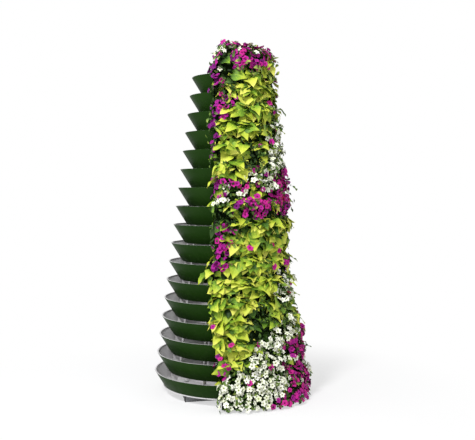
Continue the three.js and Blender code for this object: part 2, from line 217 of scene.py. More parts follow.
def distances_along(line):
    """How far along a line of points in a plane each of them is."""
    return np.concatenate([[0], np.cumsum(np.hypot(*np.diff(line, axis=0).T))])


print("one square of a grid:", grid_faces(2, 2).tolist())

# %% [markdown]
# A finish is a small network of nodes. Written node by node it hides its own sense, so one class
# wraps a socket and lets the sums read as sums, such as 1 - mask. Everything else goes through
# one method that adds a node of any type, sets it up and fills its sockets.

# %% Helpers for finishes


def fill(node, sockets):
    """Gives a node's input sockets their wires, colours or numbers."""
    for name, value in sockets.items():
        socket = node.inputs[name]
        if isinstance(value, Wire):
            node.id_data.links.new(value.socket, socket)
        elif isinstance(value, tuple) and socket.type == "RGBA":
            socket.default_value = (*value, 1.0)
        else:
            socket.default_value = value


class Wire:
    """An output socket in a node tree, with arithmetic that adds Math nodes."""

    def __init__(self, tree, socket=None):
        self.tree = tree
        self.socket = socket

    def node(self, kind, settings=None, sockets=None, output=0):
        """Adds a node, sets it up and fills its sockets."""
        made = self.tree.nodes.new(kind)
        for name, value in (settings or {}).items():
            setattr(made, name, value)
        fill(made, sockets or {})
        return Wire(self.tree, made.outputs[output])

    def math(self, operation, other=0.0, flipped=False):
        """One Math node on this wire and another value, or on the two the other way round."""
        pair = (other, self) if flipped else (self, other)
        return self.node("ShaderNodeMath", {"operation": operation}, dict(enumerate(pair)))

    def __add__(self, other):
        return self.math("ADD", other)

    def __sub__(self, other):
        return self.math("SUBTRACT", other)

    def __rsub__(self, other):
        return self.math("SUBTRACT", other, flipped=True)

    def __mul__(self, other):
        return self.math("MULTIPLY", other)

    __radd__ = __add__
    __rmul__ = __mul__

    def above(self, low, high):
        """0 below low, 1 above high, and a smooth step between them."""
        limits = {"Value": self, "From Min": low, "From Max": high}
        return self.node("ShaderNodeMapRange", {"interpolation_type": "SMOOTHSTEP"}, limits)

    def between(self, low, high):
        """A colour that goes from low to high as this wire goes from 0 to 1."""
        ends = {0: self, 6: low, 7: high}
        return self.node("ShaderNodeMix", {"data_type": "RGBA"}, ends, output=2)

    def ramp(self, *stops):
        """A colour ramp over this wire; a stop is a place and a colour."""
        made = self.node("ShaderNodeValToRGB", None, {0: self})
        elements = made.socket.node.color_ramp.elements
        while len(elements) < len(stops):
            elements.new(1.0)
        for element, (place, colour) in zip(elements, stops):
            element.position = place
            element.color = (*colour, 1.0)
        return made

    def part(self, index):
        """One of the three numbers of a vector."""
        return self.node("ShaderNodeSeparateXYZ", None, {0: self}, output=index)

    def length(self):
        """The length of a vector."""
        return self.node("ShaderNodeVectorMath", {"operation": "LENGTH"}, {0: self}, output="Value")

    def places(self):
        """Places on the piece, in metres."""
        return self.node("ShaderNodeTexCoord", output="Object")

    def is_ray(self, kind):
        """1 where light of that kind of ray is counted, else 0."""
        return self.node("ShaderNodeLightPath", output=f"Is {kind} Ray")

    def stretched(self, share):
        """Places whose height counts only by that share, which draws a pattern out upright."""
        return self.node("ShaderNodeMapping", None, {"Vector": self, "Scale": (1.0, 1.0, share)})

    def noise(self, scale, detail=3.0):
        """Soft noise from 0 to 1 over these places, scale features to the metre."""
        sockets = {"Vector": self, "Scale": scale, "Detail": detail}
        return self.node("ShaderNodeTexNoise", None, sockets)


def new_finish(name, **constants):
    """A material, a wire to start its network from, and its shader with constants set."""
    made = bpy.data.materials.new(name)
    made.use_nodes = True
    shader = made.node_tree.nodes["Principled BSDF"]
    fill(shader, {socket.replace("_", " "): value for socket, value in constants.items()})
    return made, Wire(made.node_tree), shader


def dress(shader, colour, roughness, height, depth, strength=1.0):
    """Gives the shader a colour, a roughness and a bump of that depth, in metres."""
    bump = {"Height": height, "Distance": depth, "Strength": strength}
    fill(shader, {"Base Color": colour, "Roughness": roughness,
                  "Normal": height.node("ShaderNodeBump", None, bump)})


FINE_RELIEF = 0.0003
print("finish helpers ready, fine relief:", FINE_RELIEF)

# %% [markdown]
# The collars are powder coated outside: a dark, slightly uneven green with the faint orange peel
# of sprayed paint, streaks that rain has drawn down the wall and specks of dust. Paint this dark
# shows every reflection, so its specular level is low, or white surroundings would turn it grey.

# %% Paint of the collars
PAINT_DEEP = (0.0105, 0.0350, 0.0040)
PAINT_FRESH = (0.0150, 0.0450, 0.0060)
PAINT_DUST = (0.0260, 0.0520, 0.0130)
STREAKS_PER_METRE = 34.0
STREAK_STRETCH = 0.06
PEEL_PER_METRE = 900.0

paint, start, shader = new_finish("collar_paint", Specular_IOR_Level=0.035, Roughness=0.42)
place = start.places()
streak = place.stretched(STREAK_STRETCH).noise(STREAKS_PER_METRE).above(0.50, 0.72)
cloud = place.noise(3.2).above(0.3, 0.75)
dusty = (place.noise(60.0, 5.0).above(0.55, 0.8) * 0.5 + streak * 0.5) * 0.45
colour = dusty.between(cloud.between(PAINT_DEEP, PAINT_FRESH), PAINT_DUST)
dress(shader, colour, 0.40 + 0.16 * streak, place.noise(PEEL_PER_METRE, 1.0), FINE_RELIEF, 0.35)
print("paint:", paint.name)

# %% [markdown]
# Inside, the sheet is bare galvanised steel: a patchwork of dull zinc crystals, which a Voronoi
# cell pattern gives, each cell with its own grey and its own roughness. The posts and the floor
# plate have it too. It has been outdoors, so it isn't a mirror: a quarter metal, and rough.

# %% Galvanised steel
ZINC_DARK = (0.60, 0.585, 0.60)
ZINC_LIGHT = (0.71, 0.695, 0.71)
ZINC_STAIN = (0.46, 0.45, 0.445)
CRYSTALS_PER_METRE = 55.0

zinc, start, shader = new_finish("zinc", Specular_IOR_Level=0.4, Metallic=0.25)
place = start.places()
cells = {"Vector": place, "Scale": CRYSTALS_PER_METRE}
crystal = start.node("ShaderNodeTexVoronoi", None, cells, output="Color").part(0)
stain = place.noise(5.0, 4.0).above(0.52, 0.8) * 0.5
colour = stain.between(crystal.between(ZINC_DARK, ZINC_LIGHT), ZINC_STAIN)
dress(shader, colour, 0.42 + 0.18 * crystal, place.noise(260.0, 2.0), FINE_RELIEF, 0.2)
print("zinc:", zinc.name)

# %% [markdown]
# The foot wears matte grey paint with a fine grain. The pipe is extruded grey plastic with fine
# draw lines along it, and the tube caps are moulded black plastic. One function makes all three,
# because they differ only in colour, grain and stretch. The CAD's posts, floor plate, foot and
# pipe show as they are and only get their finish.

# %% Plain finishes
PLAIN = {
    # dark and light colour, grains per metre, share of the height that counts, roughness
    "foot_paint": ((0.14, 0.145, 0.15), (0.22, 0.225, 0.23), 420.0, 1.0, 0.5),
    "pipe_plastic": ((0.13, 0.14, 0.145), (0.19, 0.20, 0.205), 300.0, 0.05, 0.42),
    "cap_plastic": ((0.009, 0.009, 0.010), (0.018, 0.018, 0.019), 700.0, 1.0, 0.55),
}


def plain_finish(name, dark, light, grain, stretch, gloss):
    """A finish of two close colours in soft clouds, with a fine grain that may be drawn out."""
    made, start, shader = new_finish(name, Specular_IOR_Level=0.3)
    place = start.places()
    fine = place.stretched(stretch).noise(grain, 2.0)
    cloud = place.noise(9.0, 4.0).above(0.35, 0.7)
    colour = (cloud * 0.7 + fine * 0.3).between(dark, light)
    dress(shader, colour, gloss + 0.15 * fine, fine, FINE_RELIEF, 0.4)
    return made


foot_paint, pipe_plastic, cap_plastic = (
    plain_finish(name, *looks) for name, looks in PLAIN.items())
FINISHES = {
    "post_": zinc, "floor_plate": zinc,
    "foot_rail": foot_paint, "foot_crossbar": foot_paint, "foot_cap": cap_plastic,
    "watering_pipe": pipe_plastic, "pipe_": pipe_plastic,
}
for prefix, finish in FINISHES.items():
    for name in nodes_of(prefix):
        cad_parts[name].data.materials.clear()
        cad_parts[name].data.materials.append(finish)
print("finished nodes:", len(nodes_of(*FINISHES)))

# %% [markdown]
# A collar is one strip of sheet rolled into a cone, with its rim and its foot folded inward. The
# CAD ring has sharp corners and flat facets. Here the same profile gets rounded folds, each a
# short curve between the two straight runs, and is turned through many more steps. Where the
# strip's ends lap, at the back, a band stands proud by half the sheet's thickness.

# %% The collars
RING_STEPS = 192
FOLD_RADIUS = 0.0016
FOLD_STEPS = 4
LAP_AZIMUTH = math.radians(-150)
LAP_HALF_WIDTH = math.radians(2.2)
LAP_RISE = 0.0015
SHEET_WOBBLE = 0.0003


def ring_corners(ring):
    """The eight corners of a collar's section, anticlockwise from the outside of its foot."""
    across = ring["sheet"] * math.hypot(1, wall_slope)
    under_lip = ring["rim_z"] - ring["sheet"]
    over_hem = ring["foot_z"] + ring["sheet"]
    inner_low = ring["foot"] + ring["sheet"] * wall_slope - across
    inner_high = inner_low + (under_lip - over_hem) * wall_slope
    return np.array([
        [ring["foot"], ring["foot_z"]],
        [ring["rim"], ring["rim_z"]],
        [ring["lip"], ring["rim_z"]],
        [ring["lip"], under_lip],
        [inner_high, under_lip],
        [inner_low, over_hem],
        [ring["hem"], over_hem],
        [ring["hem"], ring["foot_z"]],
    ])


def with_folds(corners, radius, steps):
    """A closed outline with each corner P cut back by radius to A and B and rounded between them.

    The curve at share t is (1-t)(1-t) A + 2 t (1-t) P + t t B, for all corners at once.
    """
    ways = [np.roll(corners, shift, axis=0) - corners for shift in (1, -1)]
    sizes = [np.linalg.norm(way, axis=1, keepdims=True) for way in ways]
    cut_in, cut_out = (corners + way / size * np.minimum(radius, size / 2)
                       for way, size in zip(ways, sizes))
    t = np.linspace(0, 1, steps)[None, :, None]
    bend = 2 * t * (1 - t) * corners[:, None]
    curve = (1 - t) ** 2 * cut_in[:, None] + bend + t ** 2 * cut_out[:, None]
    return curve.reshape(-1, 2)


def collar_surface(ring):
    """The rounded section turned about the axis, slightly wavy, with the lap raised outside."""
    profile = with_folds(ring_corners(ring), FOLD_RADIUS, FOLD_STEPS)
    azimuth = even_angles(RING_STEPS)
    way_out = level_way(azimuth)
    wobble = SHEET_WOBBLE * (np.sin(2 * azimuth + 0.7) + np.sin(5 * azimuth + 2.1))
    away = (azimuth - LAP_AZIMUTH + np.pi) % (2 * np.pi) - np.pi
    lap = np.clip(2 * (1 - np.abs(away) / LAP_HALF_WIDTH), 0, 1) * LAP_RISE
    rise = np.outer(np.arange(len(profile)) < 2 * FOLD_STEPS, lap)
    points = (profile[:, :1] + wobble)[..., None] * way_out + profile[:, None, 1:] * UP
    return points + rise[..., None] * way_out


def make_collar(name, ring):
    """A collar painted outside and bare inside, on its lip and on its hem."""
    points = collar_surface(ring)
    rows = len(points)
    wrapped = grid_faces(rows + 1, RING_STEPS, around=True) % (rows * RING_STEPS)
    bare = np.repeat(np.arange(rows) >= 2 * FOLD_STEPS - 2, RING_STEPS)
    piece = make_piece(f"{name}_sheet", points.reshape(-1, 3), wrapped[:, ::-1],
                       [paint, zinc], bare)
    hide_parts(name)
    return piece


sheets = [make_collar(name, ring) for name, ring in zip(collar_names, rings)]
print("collars:", len(sheets), "faces each:", len(sheets[0].data.polygons))

# %% [markdown]
# The planting follows the CAD masses of foliage. Their outermost points at each height give one
# outline from the ground to the top of the crown. Leaves are set a little inside that outline, so
# that their tips reach it. Everything is placed by arc length along it and by azimuth around it.

# %% The outline of the planting
LEVEL = 0.01
SKIN_STEPS = 400
SMOOTHING_STEPS = 13
BEYOND_RIMS = 0.03
NEAR_AXIS = 0.05
INSET_HEIGHTS = (0.0, 0.20, 1.45, 1.65, 2.9)
INSETS = (0.000, 0.022, 0.024, 0.012, 0.012)
planting_names = nodes_of("petunias_", "vine_")
planting_points = np.vstack([node_points(name) for name in planting_names])


def outline_of_planting():
    """Radius and height of the outermost points at each level, from the ground to the top."""
    level = np.round(planting_points[:, 2] / LEVEL).astype(int)
    radius = np.zeros(level.max() + 1)
    np.maximum.at(radius, level, np.hypot(planting_points[:, 0], planting_points[:, 1]))
    height = np.arange(len(radius)) * LEVEL
    outer = radius > rim_line(height) + BEYOND_RIMS
    outer |= (height > rim_heights[-1]) & (radius > NEAR_AXIS)
    top = [[0.0, planting_points[:, 2].max()]]
    return np.vstack([np.stack([radius[outer], height[outer]], -1), top])


edge_x, base_edge, crown_edge = (min(node_points(name)[:, 0].min() for name in nodes_of(prefix))
                                 for prefix in ("vine_", "petunias_base", "petunias_crown"))
corners = outline_of_planting()
corner_arc = distances_along(corners)
arc = np.linspace(0, corner_arc[-1], SKIN_STEPS)
smoothing = np.hanning(SMOOTHING_STEPS) / np.hanning(SMOOTHING_STEPS).sum()
padded = [np.pad(np.interp(arc, corner_arc, column), SMOOTHING_STEPS // 2, mode="edge")
          for column in corners.T]
skin_radius, skin_height = (np.convolve(column, smoothing, "valid") for column in padded)
inset = np.interp(skin_height, INSET_HEIGHTS, INSETS)
skin_radius = skin_radius - inset * (skin_radius > NEAR_AXIS)
print("outline points:", len(corners), "length:", round(arc[-1], 2), "edge at x", round(edge_x, 3))

# %% [markdown]
# Leaves and flowers need places. Random points bunch up and leave holes, as plants don't, so the
# places come from a steady walk with two irrational steps, which spreads them evenly. A place on
# the skin has a way out, a way down along the skin and a way to the side. Near the planted edge
# the way out turns towards the bare half, and the upright face of the edge gets places too. At
# the ground the skin spreads a little, and most at the front right, where flowers trail out.

# %% Places on the planting
PLASTIC_NUMBER = 1.324717957244746
EDGE_ROUNDING = 0.10
EDGE_REACH = 1.2
EDGE_TURN = 1.3
EDGE_WANDER = 0.032
EDGE_DRAWN_IN = 0.018
EDGE_SPLAY = 0.35
EDGE_SKIN_GAP = 0.01
AT_FOOT, AT_MIDDLE, AT_CROWN = base_edge + EDGE_DRAWN_IN, edge_x, crown_edge + EDGE_DRAWN_IN
EDGE = np.array([
    # height, and where the edge runs in x there
    (0.00, AT_FOOT), (0.46, AT_FOOT), (0.56, AT_MIDDLE - 0.012), (0.90, AT_MIDDLE - 0.024),
    (1.02, AT_MIDDLE - 0.068), (1.12, AT_MIDDLE), (2.08, AT_MIDDLE), (2.22, AT_MIDDLE - 0.040),
    (2.36, AT_MIDDLE), (2.46, AT_MIDDLE), (2.56, AT_MIDDLE - 0.028), (2.64, AT_MIDDLE - 0.028),
    (2.71, AT_CROWN), (2.90, AT_CROWN),
])
TIER_RELIEF = 0.004
TIER_PHASE = 0.6
SLOW_RELIEF = 0.012
FOOT_SPREAD = 0.010
FOOT_HEIGHT = 0.16
TRAIL_SPREAD = 0.070
TRAIL_AZIMUTH = math.radians(46)
TRAIL_WIDTH = math.radians(22)
WALL_CLEARANCE = 0.012
EDGE_FACING = -0.92
EDGE_DEPTH_SHARE = 0.45

skin_out = np.gradient(skin_height, arc)
skin_rise = -np.gradient(skin_radius, arc)


def edge_line(height):
    """Where the planted edge runs in x at a height."""
    return np.interp(height, *EDGE.T)


def spread_pairs(count, seed):
    """Pairs from 0 to 1, evenly spread: n times 1/p and 1/(p p), p being the plastic number."""
    steps = np.array([1 / PLASTIC_NUMBER, 1 / PLASTIC_NUMBER ** 2])
    return ((np.arange(count) + 1.0)[:, None] * steps + seed * np.array([0.37, 0.61])) % 1.0


def unit(vectors):
    """Each row at length one."""
    return vectors / np.maximum(np.linalg.norm(vectors, axis=1, keepdims=True), 1e-9)


def wall_radius(height):
    """Radius of the collars' outside at a height, and nothing above the top rim."""
    tier = np.ceil((height - rim_heights[0]) / tier_pitch - 1e-6)
    tier = np.clip(tier, 0, len(rings) - 1).astype(int)
    wall = rim_radii[tier] - (rim_heights[tier] - height) * wall_slope
    wall = np.maximum(wall, rings[0]["foot"] * (height < rings[0]["rim_z"]))
    return np.where(height > rim_heights[-1], 0.0, wall)


def slow_wave(azimuth, height):
    """A smooth wandering number from -1 to 1 over the skin, the mean of three crossed waves."""
    waves = np.sin(4.1 * azimuth + 5.3 * height) + np.sin(6.7 * azimuth - 8.9 * height + 1.3)
    return (waves + np.sin(2.3 * azimuth + 15.7 * height + 2.2)) / 3


def as_sites(place, out, azimuth, height):
    """Places with their ways out, down and aside, and where they are."""
    upright = -UP + 0.05 * unit(place * [1, 1, 0])
    down = unit(upright - out * np.sum(upright * out, axis=1, keepdims=True))
    return {"place": place, "out": out, "down": down, "side": np.cross(down, out),
            "azimuth": np.degrees(azimuth), "height": height}


def skin_sites(count, seed):
    """Places over the outer skin, as many to each square metre everywhere."""
    pairs = spread_pairs(count, seed)
    edge_angle = np.arcsin(np.clip(edge_line(skin_height) / np.maximum(skin_radius, 1e-3), -1, 1))
    area = np.cumsum(skin_radius * (np.pi - 2 * edge_angle))
    at = np.interp(pairs[:, 1], area / area[-1], arc)
    lines = (skin_radius, skin_height, edge_angle, skin_out, skin_rise)
    radius, height, first, lean_out, lean_up = (np.interp(at, arc, line) for line in lines)
    azimuth = first + pairs[:, 0] * (np.pi - 2 * first)
    level = level_way(azimuth)
    out = unit(level * lean_out[:, None] + UP * lean_up[:, None])
    tier = np.cos(2 * np.pi * (height - rim_heights[0]) / tier_pitch - TIER_PHASE)
    rise = SLOW_RELIEF * slow_wave(azimuth, height) + TIER_RELIEF * tier
    trail = FOOT_SPREAD + TRAIL_SPREAD * np.exp(-((azimuth - TRAIL_AZIMUTH) / TRAIL_WIDTH) ** 2)
    rise = rise + trail * np.clip(1 - height / FOOT_HEIGHT, 0, 1)
    place = level * radius[:, None] + UP * height[:, None] + out * rise[:, None]
    near = np.clip(1 - (place[:, 0] - edge_line(height)) / EDGE_ROUNDING, 0, 1)
    near = near * (radius > -EDGE_REACH * edge_x)
    out = unit(out + np.array([[-EDGE_TURN, 0, 0]]) * near[:, None] ** 2)
    place[:, 0] += EDGE_WANDER * near * slow_wave(azimuth + 3, 3 * height)
    return as_sites(place, out, azimuth, height)


def edge_sites(count, seed):
    """Places on the upright face of the planted edge, between the collars and the outer skin."""
    pairs = spread_pairs(count, seed)
    y = (2 * pairs[:, 0] - 1) * skin_radius.max()
    height = pairs[:, 1] * skin_height.max()
    line = edge_line(height)
    radius = np.hypot(line, y)
    keep = radius < np.interp(height, skin_height, skin_radius) - EDGE_SKIN_GAP
    keep &= radius > wall_radius(height) + WALL_CLEARANCE
    y, height, line, radius = (values[keep] for values in (y, height, line, radius))
    azimuth = np.where(y < 0, np.arcsin(line / radius), np.pi - np.arcsin(line / radius))
    x = line + EDGE_WANDER * slow_wave(azimuth + 3, 3 * height)
    out = unit(np.stack([-np.ones_like(y), EDGE_SPLAY * np.sign(y), 0 * y], -1))
    return as_sites(np.stack([x, y, height], -1), out, azimuth, height)


def joined(parts):
    """Several sets of places in one."""
    return {field: np.concatenate([part[field] for part in parts]) for field in parts[0]}


def edge_share(sites):
    """How deep copies go at each place: less on the edge's face, where the undergrowth is close."""
    return np.where(sites["out"][:, :1] < EDGE_FACING, EDGE_DEPTH_SHARE, 1.0)


def chosen(sites, mask):
    """The places where the mask holds."""
    return {field: values[mask] for field, values in sites.items()}


print("of 1000 places on the edge's face, kept:", len(edge_sites(1000, 1)["height"]))

# %% [markdown]
# What grows where is a planting plan: patches of vine, of magenta and white petunias, of both
# mixed and of painted shade, where only dark-tinted leaves grow, as the photographed side shows
# them, and of the same kinds on the hidden one.
# A patch is a soft-edged oval in azimuth and height. A place belongs to the patch that is
# strongest there, and its fill says how many of its places carry a flower.

# %% The planting plan
# SHADE marks patches of painted shade: only dark-tinted leaves grow there.
VINE, MAGENTA, WHITE, MIXED, SHADE = range(5)
PLAN = np.array([
    # kind, azimuth, height, half width, half height, strength, fill
    (VINE, 90, 1.40, 140, 1.30, 0.30, 0.02),
    (MIXED, 90, 2.79, 200, 0.09, 1.00, 0.60),
    (MIXED, 5, 2.80, 28, 0.04, 1.3, 0.90),
    (MIXED, -10, 2.77, 12, 0.055, 1.4, 0.95),
    (WHITE, -1, 2.73, 7, 0.03, 1.25, 0.80),
    (SHADE, -4, 2.64, 12, 0.05, 1.25, 0.10),
    (VINE, 9, 2.60, 6, 0.03, 1.35, 0.00),
    (VINE, 23, 2.59, 7, 0.03, 1.35, 0.00),
    (MAGENTA, 28, 2.67, 20, 0.075, 1.6, 0.98),
    (MAGENTA, 55, 2.77, 10, 0.03, 1.5, 0.90),
    (VINE, 76, 2.72, 20, 0.08, 1.35, 0.10),
    (MAGENTA, -17, 2.60, 7, 0.06, 1.6, 0.95),
    (SHADE, 8, 2.54, 17, 0.05, 1.3, 0.00),
    (MAGENTA, -5, 2.51, 10, 0.04, 1.4, 0.80),
    (MAGENTA, -18, 2.41, 7, 0.06, 1.3, 0.60),
    (MAGENTA, -2, 2.37, 15, 0.05, 1.3, 0.70),
    (MAGENTA, -9, 2.28, 11, 0.04, 1.3, 0.60),
    (MAGENTA, -16, 2.02, 5, 0.20, 1.2, 0.60),
    (VINE, 27, 2.22, 28, 0.36, 1.0, 0.01),
    (VINE, 67, 2.49, 16, 0.10, 1.1, 0.04),
    (MIXED, 69, 2.29, 17, 0.07, 1.2, 0.40),
    (WHITE, 69, 2.12, 19, 0.10, 1.2, 0.50),
    (WHITE, 62, 1.90, 18, 0.11, 1.3, 0.75),
    (SHADE, 28, 1.925, 12, 0.125, 1.5, 0.00),
    (VINE, 4, 1.81, 17, 0.08, 1.1, 0.02),
    (WHITE, 37, 1.76, 15, 0.09, 1.3, 0.72),
    (MAGENTA, 71, 1.76, 15, 0.10, 1.4, 0.90),
    (MAGENTA, 5, 1.72, 24, 0.035, 1.2, 0.85),
    (WHITE, 3, 1.67, 14, 0.03, 1.3, 0.45),
    (MIXED, -7, 1.62, 14, 0.035, 1.2, 0.85),
    (WHITE, -3, 1.56, 7, 0.04, 1.2, 0.35),
    (MAGENTA, 28, 1.54, 16, 0.075, 1.6, 0.98),
    (MAGENTA, 52, 1.63, 10, 0.04, 1.2, 0.90),
    (MAGENTA, 71, 1.54, 13, 0.07, 1.3, 0.80),
    (SHADE, -9, 1.45, 13, 0.055, 1.3, 0.05),
    (VINE, 10, 1.46, 5, 0.03, 1.35, 0.00),
    (VINE, 22, 1.44, 6, 0.03, 1.35, 0.00),
    (SHADE, 5, 1.41, 14, 0.05, 1.2, 0.00),
    (MAGENTA, -9, 1.35, 12, 0.035, 1.4, 0.95),
    (MAGENTA, -9, 1.22, 13, 0.06, 1.3, 0.80),
    (MAGENTA, -10, 1.10, 11, 0.04, 1.3, 0.80),
    (VINE, 26, 1.13, 25, 0.30, 1.0, 0.01),
    (VINE, 62, 1.36, 20, 0.09, 1.1, 0.02),
    (VINE, 15, 0.78, 34, 0.26, 1.0, 0.01),
    (MIXED, 69, 1.05, 18, 0.05, 1.2, 0.50),
    (WHITE, 68, 0.88, 21, 0.09, 1.2, 0.70),
    (SHADE, 28, 0.67, 12, 0.15, 1.5, 0.00),
    (WHITE, 51, 0.58, 17, 0.12, 1.3, 0.65),
    (WHITE, 31, 0.40, 17, 0.14, 1.3, 0.80),
    (VINE, 7, 0.45, 9, 0.11, 1.35, 0.02),
    (SHADE, 12, 0.34, 4, 0.06, 1.3, 0.00),
    (MAGENTA, 33, 0.34, 3, 0.025, 2.0, 1.00),
    (WHITE, 24, 0.21, 26, 0.08, 1.3, 0.72),
    (WHITE, 12, 0.09, 20, 0.09, 1.3, 0.74),
    (MAGENTA, 67, 0.43, 20, 0.10, 1.4, 0.70),
    (MAGENTA, 64, 0.15, 19, 0.14, 1.5, 0.70),
    (MAGENTA, 39, 0.04, 14, 0.04, 1.5, 0.90),
    (MAGENTA, -5, 0.34, 6, 0.07, 1.6, 0.95),
    (MAGENTA, 112, 2.62, 28, 0.08, 1.3, 0.85),
    (WHITE, 150, 2.66, 20, 0.06, 1.1, 0.70),
    (VINE, 128, 2.18, 42, 0.38, 1.0, 0.03),
    (MAGENTA, 188, 2.28, 15, 0.24, 1.2, 0.55),
    (WHITE, 102, 1.95, 15, 0.22, 1.05, 0.70),
    (SHADE, 140, 1.86, 12, 0.08, 1.2, 0.00),
    (MIXED, 130, 1.63, 46, 0.13, 1.2, 0.80),
    (MAGENTA, 162, 1.55, 18, 0.12, 1.4, 0.95),
    (VINE, 135, 1.00, 46, 0.44, 1.0, 0.03),
    (MAGENTA, 188, 1.02, 11, 0.26, 1.15, 0.50),
    (SHADE, 118, 0.80, 9, 0.09, 1.2, 0.00),
    (WHITE, 126, 0.34, 34, 0.28, 1.1, 0.85),
    (MAGENTA, 165, 0.24, 22, 0.22, 1.35, 0.85),
    (MIXED, -60, 2.68, 32, 0.11, 1.1, 0.40),
    (MIXED, 240, 2.68, 32, 0.11, 1.1, 0.40),
])
PLAN_JITTER = 0.24
WANDER_DEGREES = 1.8
WANDER_METRES = 0.014
HIDDEN_WANDER = 4.5
HIDDEN_FROM = 72
HIDDEN_FADE = 40


def planned_sites(skin_count, edge_count, seed):
    """Places on skin and edge, each with the kind and the fill of the patch that it belongs to.

    That is the patch of greatest strength exp(-a^4 - a^2 h^2 - h^4) there. Before that, azimuth
    and height wander in slow waves, more on the hidden side, so that no patch has a straight
    border.
    """
    sites = joined([skin_sites(skin_count, seed), edge_sites(edge_count, seed + 0.5)])
    kind, azimuth, height, wide, high, strength, share = PLAN.T
    around, up = np.radians(sites["azimuth"]), sites["height"]
    more = 1 + HIDDEN_WANDER * np.clip((sites["azimuth"] - HIDDEN_FROM) / HIDDEN_FADE, 0, 1)
    shift = np.sin(21 * up + 3 * around) + np.sin(12 * up - 7 * around + 2)
    lift = np.sin(8 * around + 7 * up + 1) + np.sin(15 * around - 5 * up)
    a = ((sites["azimuth"] + WANDER_DEGREES * more * shift)[:, None] - azimuth) / wide
    h = ((up + WANDER_METRES * more * lift)[:, None] - height) / high
    weight = strength * np.exp(-a ** 4 - (a * h) ** 2 - h ** 4)
    best = (weight * (1 + PLAN_JITTER * (dice.random(a.shape) - 0.5))).argmax(axis=1)
    return {**sites, "kind": kind[best].astype(int), "fill": share[best]}


bands = ["petunias_base", "vine_lower", "petunias_middle", "vine_upper", "petunias_crown"]
band_nodes = {band: nodes_of(band) for band in bands}
band_tops = np.array([max(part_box(name)[1].z for name in band_nodes[band]) for band in bands])
print("patches:", len(PLAN), "band tops:", np.round(band_tops, 2).tolist())

# %% [markdown]
# Under the leaves lies undergrowth: stems, old leaves and roots, coloured near black as painted
# shade, so that the gaps between leaves read as depth. It is one closed skin: an outer sheet
# inside the outline, and an inner sheet that steps over every rim, dips its roots into the gap
# behind it and climbs the next collar. The two sheets have as many points, so the planted edges
# close with plain quads.

# %% The undergrowth
CORE_INSET = 0.055
CORE_STEPS = 110
CORE_ROUGHNESS = 0.012
ROOT_DIP = 0.050
RIM_CLEARANCE = 0.006
AXIS_GAP = 0.002
CROWN_ROOT_DIP = 0.060
CROWN_ROOT_INNER = 0.085


def inner_outline():
    """Radius and height along the undergrowth's inner side, from the ground to the roots."""
    skirt = rings[0]["foot"] + 2 * WALL_CLEARANCE
    line = [[skirt, skin_height.min()], [skirt, rings[0]["foot_z"]]]
    for ring, next_ring in zip(rings, [*rings[1:], None]):
        outside, inside = ring["rim"] + WALL_CLEARANCE, ring["rim"] - 2 * WALL_CLEARANCE
        seat = ring["rim_z"] + RIM_CLEARANCE
        line += [[outside, seat - 3 * RIM_CLEARANCE], [outside, seat], [inside, seat]]
        if next_ring:
            foot = next_ring["foot"]
            dip_radius = (ring["rim"] + foot) / 2 - WALL_CLEARANCE
            line += [[dip_radius, seat - ROOT_DIP], [foot + WALL_CLEARANCE, seat]]
    deep = seat - CROWN_ROOT_DIP
    line += [[inside - CROWN_ROOT_DIP * wall_slope, deep], [CROWN_ROOT_INNER, deep],
             [CROWN_ROOT_INNER, seat], [AXIS_GAP, seat + RIM_CLEARANCE]]
    return np.array(line)


def sheet_around(radius, height):
    """A sheet turned from planted edge to planted edge: grid rows are steps in azimuth."""
    line = edge_line(height) + CORE_INSET / 2
    first = np.arcsin(np.clip(line / np.maximum(radius, 1e-3), -1, 1))
    azimuth = first + np.linspace(0, 1, CORE_STEPS)[:, None] * (np.pi - 2 * first)
    return azimuth, radius[:, None] * level_way(azimuth) + height[:, None] * UP


def undergrowth_points():
    """Both sheets, the inner one first, each as azimuth steps by outline points."""
    inner = inner_outline()
    at = np.linspace(arc[0], arc[-1], len(inner))
    outer_radius = np.maximum(np.interp(at, arc, skin_radius - CORE_INSET * skin_out), AXIS_GAP)
    outer_height = np.interp(at, arc, skin_height - CORE_INSET * skin_rise)
    outer_height = np.maximum(outer_height, skin_height.min())
    azimuth, outer = sheet_around(outer_radius, outer_height)
    bumps = np.sin(31 * azimuth + 9 * outer_height) + np.sin(47 * outer_height - 13 * azimuth)
    away = outer * [1, 1, 0] / np.maximum(outer_radius, NEAR_AXIS)[:, None]
    outer = outer + away * (CORE_ROUGHNESS * bumps)[..., None]
    return np.stack([sheet_around(*inner.T)[1], outer])


def undergrowth_faces(rows, columns):
    """Quads of both sheets and of the four strips that join their borders."""
    inner, outer = np.arange(2 * rows * columns).reshape(2, rows, columns)
    sheet = grid_faces(rows, columns)
    borders = ((inner[0], outer[0]), (outer[-1], inner[-1]),
               (outer[:, 0], inner[:, 0]), (inner[:, -1], outer[:, -1]))
    strips = [np.stack([a[:-1], a[1:], b[1:], b[:-1]], -1) for a, b in borders]
    return np.vstack([sheet + rows * columns, sheet[:, ::-1], *strips])


# Near-black undergrowth colour: painted shade.
undergrowth_shade_finish, start, shader = new_finish("undergrowth", Specular_IOR_Level=0.05)
clump = start.places().noise(38.0, 4.0)
painted_shade_colour = clump.ramp((0.35, (0.004, 0.009, 0.003)), (0.55, (0.010, 0.022, 0.005)),
                   (0.75, (0.026, 0.052, 0.010)))
dress(shader, painted_shade_colour, 0.9, clump, 0.02)

core_points = undergrowth_points()
core_faces = undergrowth_faces(*core_points.shape[1:3])
undergrowth = make_piece("undergrowth", core_points.reshape(-1, 3), core_faces, [undergrowth_shade_finish])
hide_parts(*planting_names)
print("undergrowth faces:", len(core_faces))

# %% [markdown]
# Thousands of leaves and flowers come from a few small templates: a grid of a few dozen quads
# each, bent by formulas. A family is several templates that share one map and one set of faces. A
# copy is a template times its size, laid along its own three ways, and all copies of one kind in
# one band of the tower make one mesh. Each copy keeps the template's map for its veins, has its
# own square in a second map, and a number for its tint.

# %% Copies of a template
CELL_MARGIN = 0.06
FLOOR_REST = 0.001
FLOOR_PILE = 0.003
PROUD = 0.040


